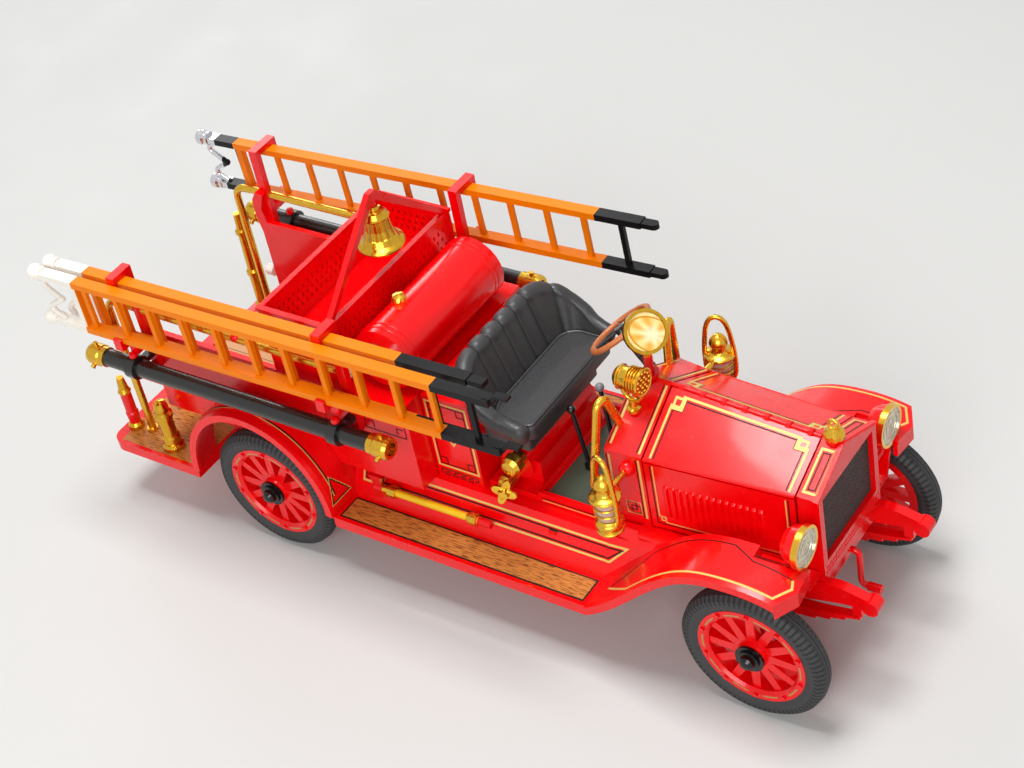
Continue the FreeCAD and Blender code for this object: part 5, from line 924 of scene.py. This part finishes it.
for side_name, side in SIDES:
    at = np.array([front_x - 0.0284, side * 0.021, 0.0313])
    across = np.array([math.cos(math.radians(20)), side * math.sin(math.radians(20)), 0])
    arm = np.array([(at[0], side * y, 0.0393) for y in (0.0135, 0.0155, 0.0175, 0.0192)])
    lantern_parts += [turned(eased(tank_profile, 1), at), turned(eased(cap_profile, 1), at)]
    lantern_parts += [tube(at + hoop + (0, 0, z), 0.00016, (0, 0, 1), 6) for z in (0.0046, 0.0061)]
    lantern_parts.append(tube(at + bail[:, :1] * across + bail[:, 1:] * (0, 0, 1), 0.0005,
                              np.cross(across, (0, 0, 1))))
    lantern_parts.append(tube(arm, 0.00055, (0, 0, 1)))
    glass_parts.append(turned(eased(pane_profile, 1), at))
    boss_parts.append(turned(boss_profile, arm[0], (0, side, 0)))
tinted = finish("tinted_lantern_glass", "EBC9B2", 0.08, dark=0.9, grain=2.5, bump=0.000004, coat=0.3)
tinted.node_tree.nodes["Principled BSDF"].inputs["Transmission Weight"].default_value = 0.45
lantern_metal = solid("lantern_metal", joined(*lantern_parts), brass, "brass")
solid("lantern_panes", joined(*glass_parts), tinted, "clear_glass")
solid("lantern_bosses", joined(*boss_parts), red, "red_paint")
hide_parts("lanterns")


# Hose body: the open red box behind the seat, moulded in one with its floor. On each side, just behind the
# seat box, a thin black frame of ink has a small hook in each corner.
low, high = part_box("hose_body")
u0, u1, v0, v1 = high[0] - 0.0105, high[0] - 0.0010, 0.0362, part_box("seat_box")[1][2] - 0.0012
near, far = 0.0005, 0.002
hooks = [[(u + across * near, v + up * far), (u + across * far, v + up * far),
          (u + across * far, v + up * near)]
         for u, across in ((u0, 1), (u1, -1)) for v, up in ((v0, 1), (v1, -1))]
printed("hose_body_black_*", [framed(u0, u1, v0, v1)] + hooks, thin, "hose_body", "side", black_line)


# Tank: a red drum that lies across the body behind the seat, moulded in two halves. Two raised seams stand
# round it near each end, as the bands of a riveted tank.
low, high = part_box("tank")
tank_radius = 0.00665
seam_profile = ((6.5, -0.35), (6.72, -0.22), (6.78, 0.0), (6.72, 0.22), (6.5, 0.35), (6.3, 0.0), (6.5, -0.35))
seams = [turned(seam_profile, ((low[0] + high[0]) / 2, y, low[2] + tank_radius), (0, 1, 0), 96)
         for y in (-0.014, -0.0128, 0.0128, 0.014)]
solid("tank_seams", joined(*seams), red, "red_paint")


# Bell: a gold plated casting under the gable arch, with fine upright ribs below its shoulder. The plating is
# smooth, so it mirrors the red round it.
low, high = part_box("bell")
bell = finish("bell_gold", "EDB638", 0.2, dark=0.62, grain=0.83, metallic=1.0)
tree = bell.node_tree
x, y, z = place(tree)
_, angle = polar(tree, x, y, (low[0] + high[0]) / 2, 0.0)
ribs = put(tree, "Math SINE", put(tree, "Math MULTIPLY", angle, 12.0))
relief(bell, put(tree, "Math MULTIPLY", ribs, zone(tree, (z, low[2] + 0.0022, low[2] + 0.006))), 0.00015)
paint(bell, "bell")


# Rails and hoses: plated gold handrails and hose couplings, and black ABS tubes for the stiff suction hoses
# in their clamps. A red ball sits on each handrail over the basket, and a red bolt on top of each clamp.
paint(brass, "hose_couplings", "handrails", "brass_fittings")
paint(black, "suction_hoses", "hose_clamps")
ball_profile = ((0, -1.1), (0.6, -0.92), (1.0, -0.45), (1.1, 0), (1.0, 0.45), (0.6, 0.92), (0, 1.1))
bolt_profile = ((0, -0.2), (0.9, -0.2), (0.9, 0.3), (0.7, 0.8), (0, 1.1))
clamp_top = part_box("hose_clamps")[1][2]
balls = [turned(ball_profile, (front_x - 0.1104, side * 0.0209, 0.0506), around=20) for _, side in SIDES]
bolts = [turned(bolt_profile, (front_x + x, side * 0.026, clamp_top), around=18)
         for _, side in SIDES for x in (-0.136, -0.0844)]
solid("rail_balls", joined(*balls), red, "red_paint")
solid("clamp_bolts", joined(*bolts), red, "red_paint")


# Ladders: moulded in orange ABS with a wood grain along the rails, and hung in the brackets by their rungs.
# Their front ends are dipped in black; at the rear the right pair is white, and the left one black with
# chrome hooks.
def ladder_paint(name, dip_x, tail_x, tail_code, hook_x, hook_code, hook_metal):
    """Orange plastic with grain along X, and plain colours beyond three stations from the front axle."""
    material = finish(name, "F98400", 0.45, dark=0.74, grain=1.25, stretch=(0.3, 6, 6), bump=0.00004,
                      specular=0.14)
    tree = material.node_tree
    x = place(tree)[0]
    overlay(material, zone(tree, (x, front_x + dip_x, None)), "141416", 0.3)
    overlay(material, zone(tree, (x, None, front_x + tail_x)), tail_code, 0.3)
    overlay(material, zone(tree, (x, None, front_x + hook_x)), hook_code, 0.18, hook_metal)
    return material


for node, *colours in (("ladder_right_outer", -0.057, -0.145, "EFEAE0", -0.2, "EFEAE0", 0.0),
                       ("ladder_right_inner", -0.067, -0.145, "EFEAE0", -0.2, "EFEAE0", 0.0),
                       ("ladder_left", -0.0538, -0.1445, "141416", -0.1498, "D8D8DC", 1.0)):
    paint(ladder_paint(node + "_orange", *colours), node)


# Axe: a yellow painted handle in a plated clip on the running board, with a red head, a red end and a plated
# cup behind each. The paint on the handle is drawn out along it, as brushed.
low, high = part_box("fire_axe")
axe = finish("axe_yellow_paint", "F2C312", 0.3, dark=0.8, grain=1.4, stretch=(0.3, 4, 4))
tree = axe.node_tree
x = place(tree)[0]
for band, code, roughness, metallic in (((None, low[0] + 0.0030), "E0000A", 0.25, None),
                                        ((low[0] + 0.0030, low[0] + 0.0052), "EDB638", 0.2, 1.0),
                                        ((high[0] - 0.0056, high[0] - 0.0040), "EDB638", 0.2, 1.0),
                                        ((high[0] - 0.0030, None), "E0000A", 0.25, None)):
    overlay(axe, zone(tree, (x, *band)), code, roughness, metallic)
paint(axe, "fire_axe")


# Stowed nozzles: plated gold pipes that stand on pegs of the rear step. The one at the right rear corner has
# its barrel painted red.
low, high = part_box("stowed_nozzles")
nozzle = finish("nozzle_gold", "EDB638", 0.2, **plated)
tree = nozzle.node_tree
x, y, z = place(tree)
barrel = zone(tree, (x, None, low[0] + 0.0055), (y, None, 0.0), (z, low[2] + 0.0016, low[2] + 0.0095))
overlay(nozzle, barrel, "E0000A", 0.25, 0.0)
paint(nozzle, "stowed_nozzles")


# Floor: a pale matt sheet under the model, which keeps its shadow. Seen directly, in a mirror or through
# glass, it fades into the colour of the room between 0.3 and 1.1 m from the model.
def looked_at(tree):
    """1 for rays that show a thing to the camera, in metal or through glass, and 0 for those that light."""
    rays = put(tree, "LightPath").outputs
    seen = put(tree, "Math MAXIMUM", rays["Is Camera Ray"], rays["Is Glossy Ray"])
    return put(tree, "Math MAXIMUM", seen, rays["Is Transmission Ray"])


floor_half = 3.0
floor_sheet = finish("floor_pale_card", "C9C9C7", 0.7, dark=0.985, grain=25.0, bump=0.00001, specular=0.3)
tree = floor_sheet.node_tree
x, y, z = place(tree)
far, _ = polar(tree, x, y, 0.0, 0.0)
fade = put(tree, "MapRange", far, 0.3, 1.1, 0.0, 1.0, interpolation_type="SMOOTHSTEP")
share = put(tree, "Math MULTIPLY", fade, looked_at(tree))
pale = put(tree, "Emission", linear("E6E6E4"), 1.0)
seen_or_pale = put(tree, "MixShader", share, tree.nodes["Principled BSDF"], pale)
feed(tree, tree.nodes["Material Output"].inputs[0], seen_or_pale)
corners = np.array([(-1, -1, 0), (1, -1, 0), (1, 1, 0), (-1, 1, 0)]) * floor_half
new_object("floor", corners, np.array([[0, 1, 2, 3]]), floor_sheet, None)


# Light: a large soft key overhead, a broad fill from the camera's side, a rim light from behind and an even
# room. The room lights the model at a third of the strength at which it is seen.
def area_light(name, at, size, power):
    """A rectangular lamp in watts, turned to the middle of the model."""
    light = bpy.data.lights.new(name, "AREA")
    light.shape = "RECTANGLE"
    light.size, light.size_y = size
    light.energy = power
    obj = bpy.data.objects.new(name, light)
    obj.location = at
    obj.rotation_euler = (Vector((0, 0, 0.03)) - Vector(at)).to_track_quat("-Z", "Y").to_euler()
    bpy.context.scene.collection.objects.link(obj)


area_light("key", (-0.05, 0.0, 0.75), (0.3, 0.26), 4.8)
area_light("fill", (0.3, -0.65, 0.4), (0.5, 0.4), 3.8)
area_light("rim", (-0.5, 0.45, 0.3), (0.3, 0.25), 1.0)
world = bpy.data.worlds.new("studio")
world.use_nodes = True
tree = world.node_tree
feed(tree, tree.nodes["Background"].inputs[0], (1, 1, 1, 1))
feed(tree, tree.nodes["Background"].inputs[1], put(tree, "MapRange", looked_at(tree), 0.0, 1.0, 0.32, 0.79))
bpy.context.scene.world = world
bpy.context.scene.view_settings.view_transform = "Standard"


# Camera: a three-quarter view from the front right and above, as in the photo. Its place and its three axes
# come from the wheels and the symmetric pairs of the model in the photo.
camera_data = bpy.data.cameras.new("camera")
camera_data.sensor_width = 36.0
camera_data.lens = 71.80
camera_data.clip_start = 0.01
camera = bpy.data.objects.new("camera", camera_data)
right = Vector((0.82629, 0.53909, -0.16319))
down = Vector((0.24401, -0.60375, -0.75891))
forward = Vector((-0.50765, 0.58726, -0.63041))
axes = Matrix((right, -down, -forward)).transposed()
camera.matrix_world = Matrix.Translation((0.204685, -0.22852, 0.28292)) @ axes.to_4x4()
bpy.context.scene.collection.objects.link(camera)
bpy.context.scene.camera = camera
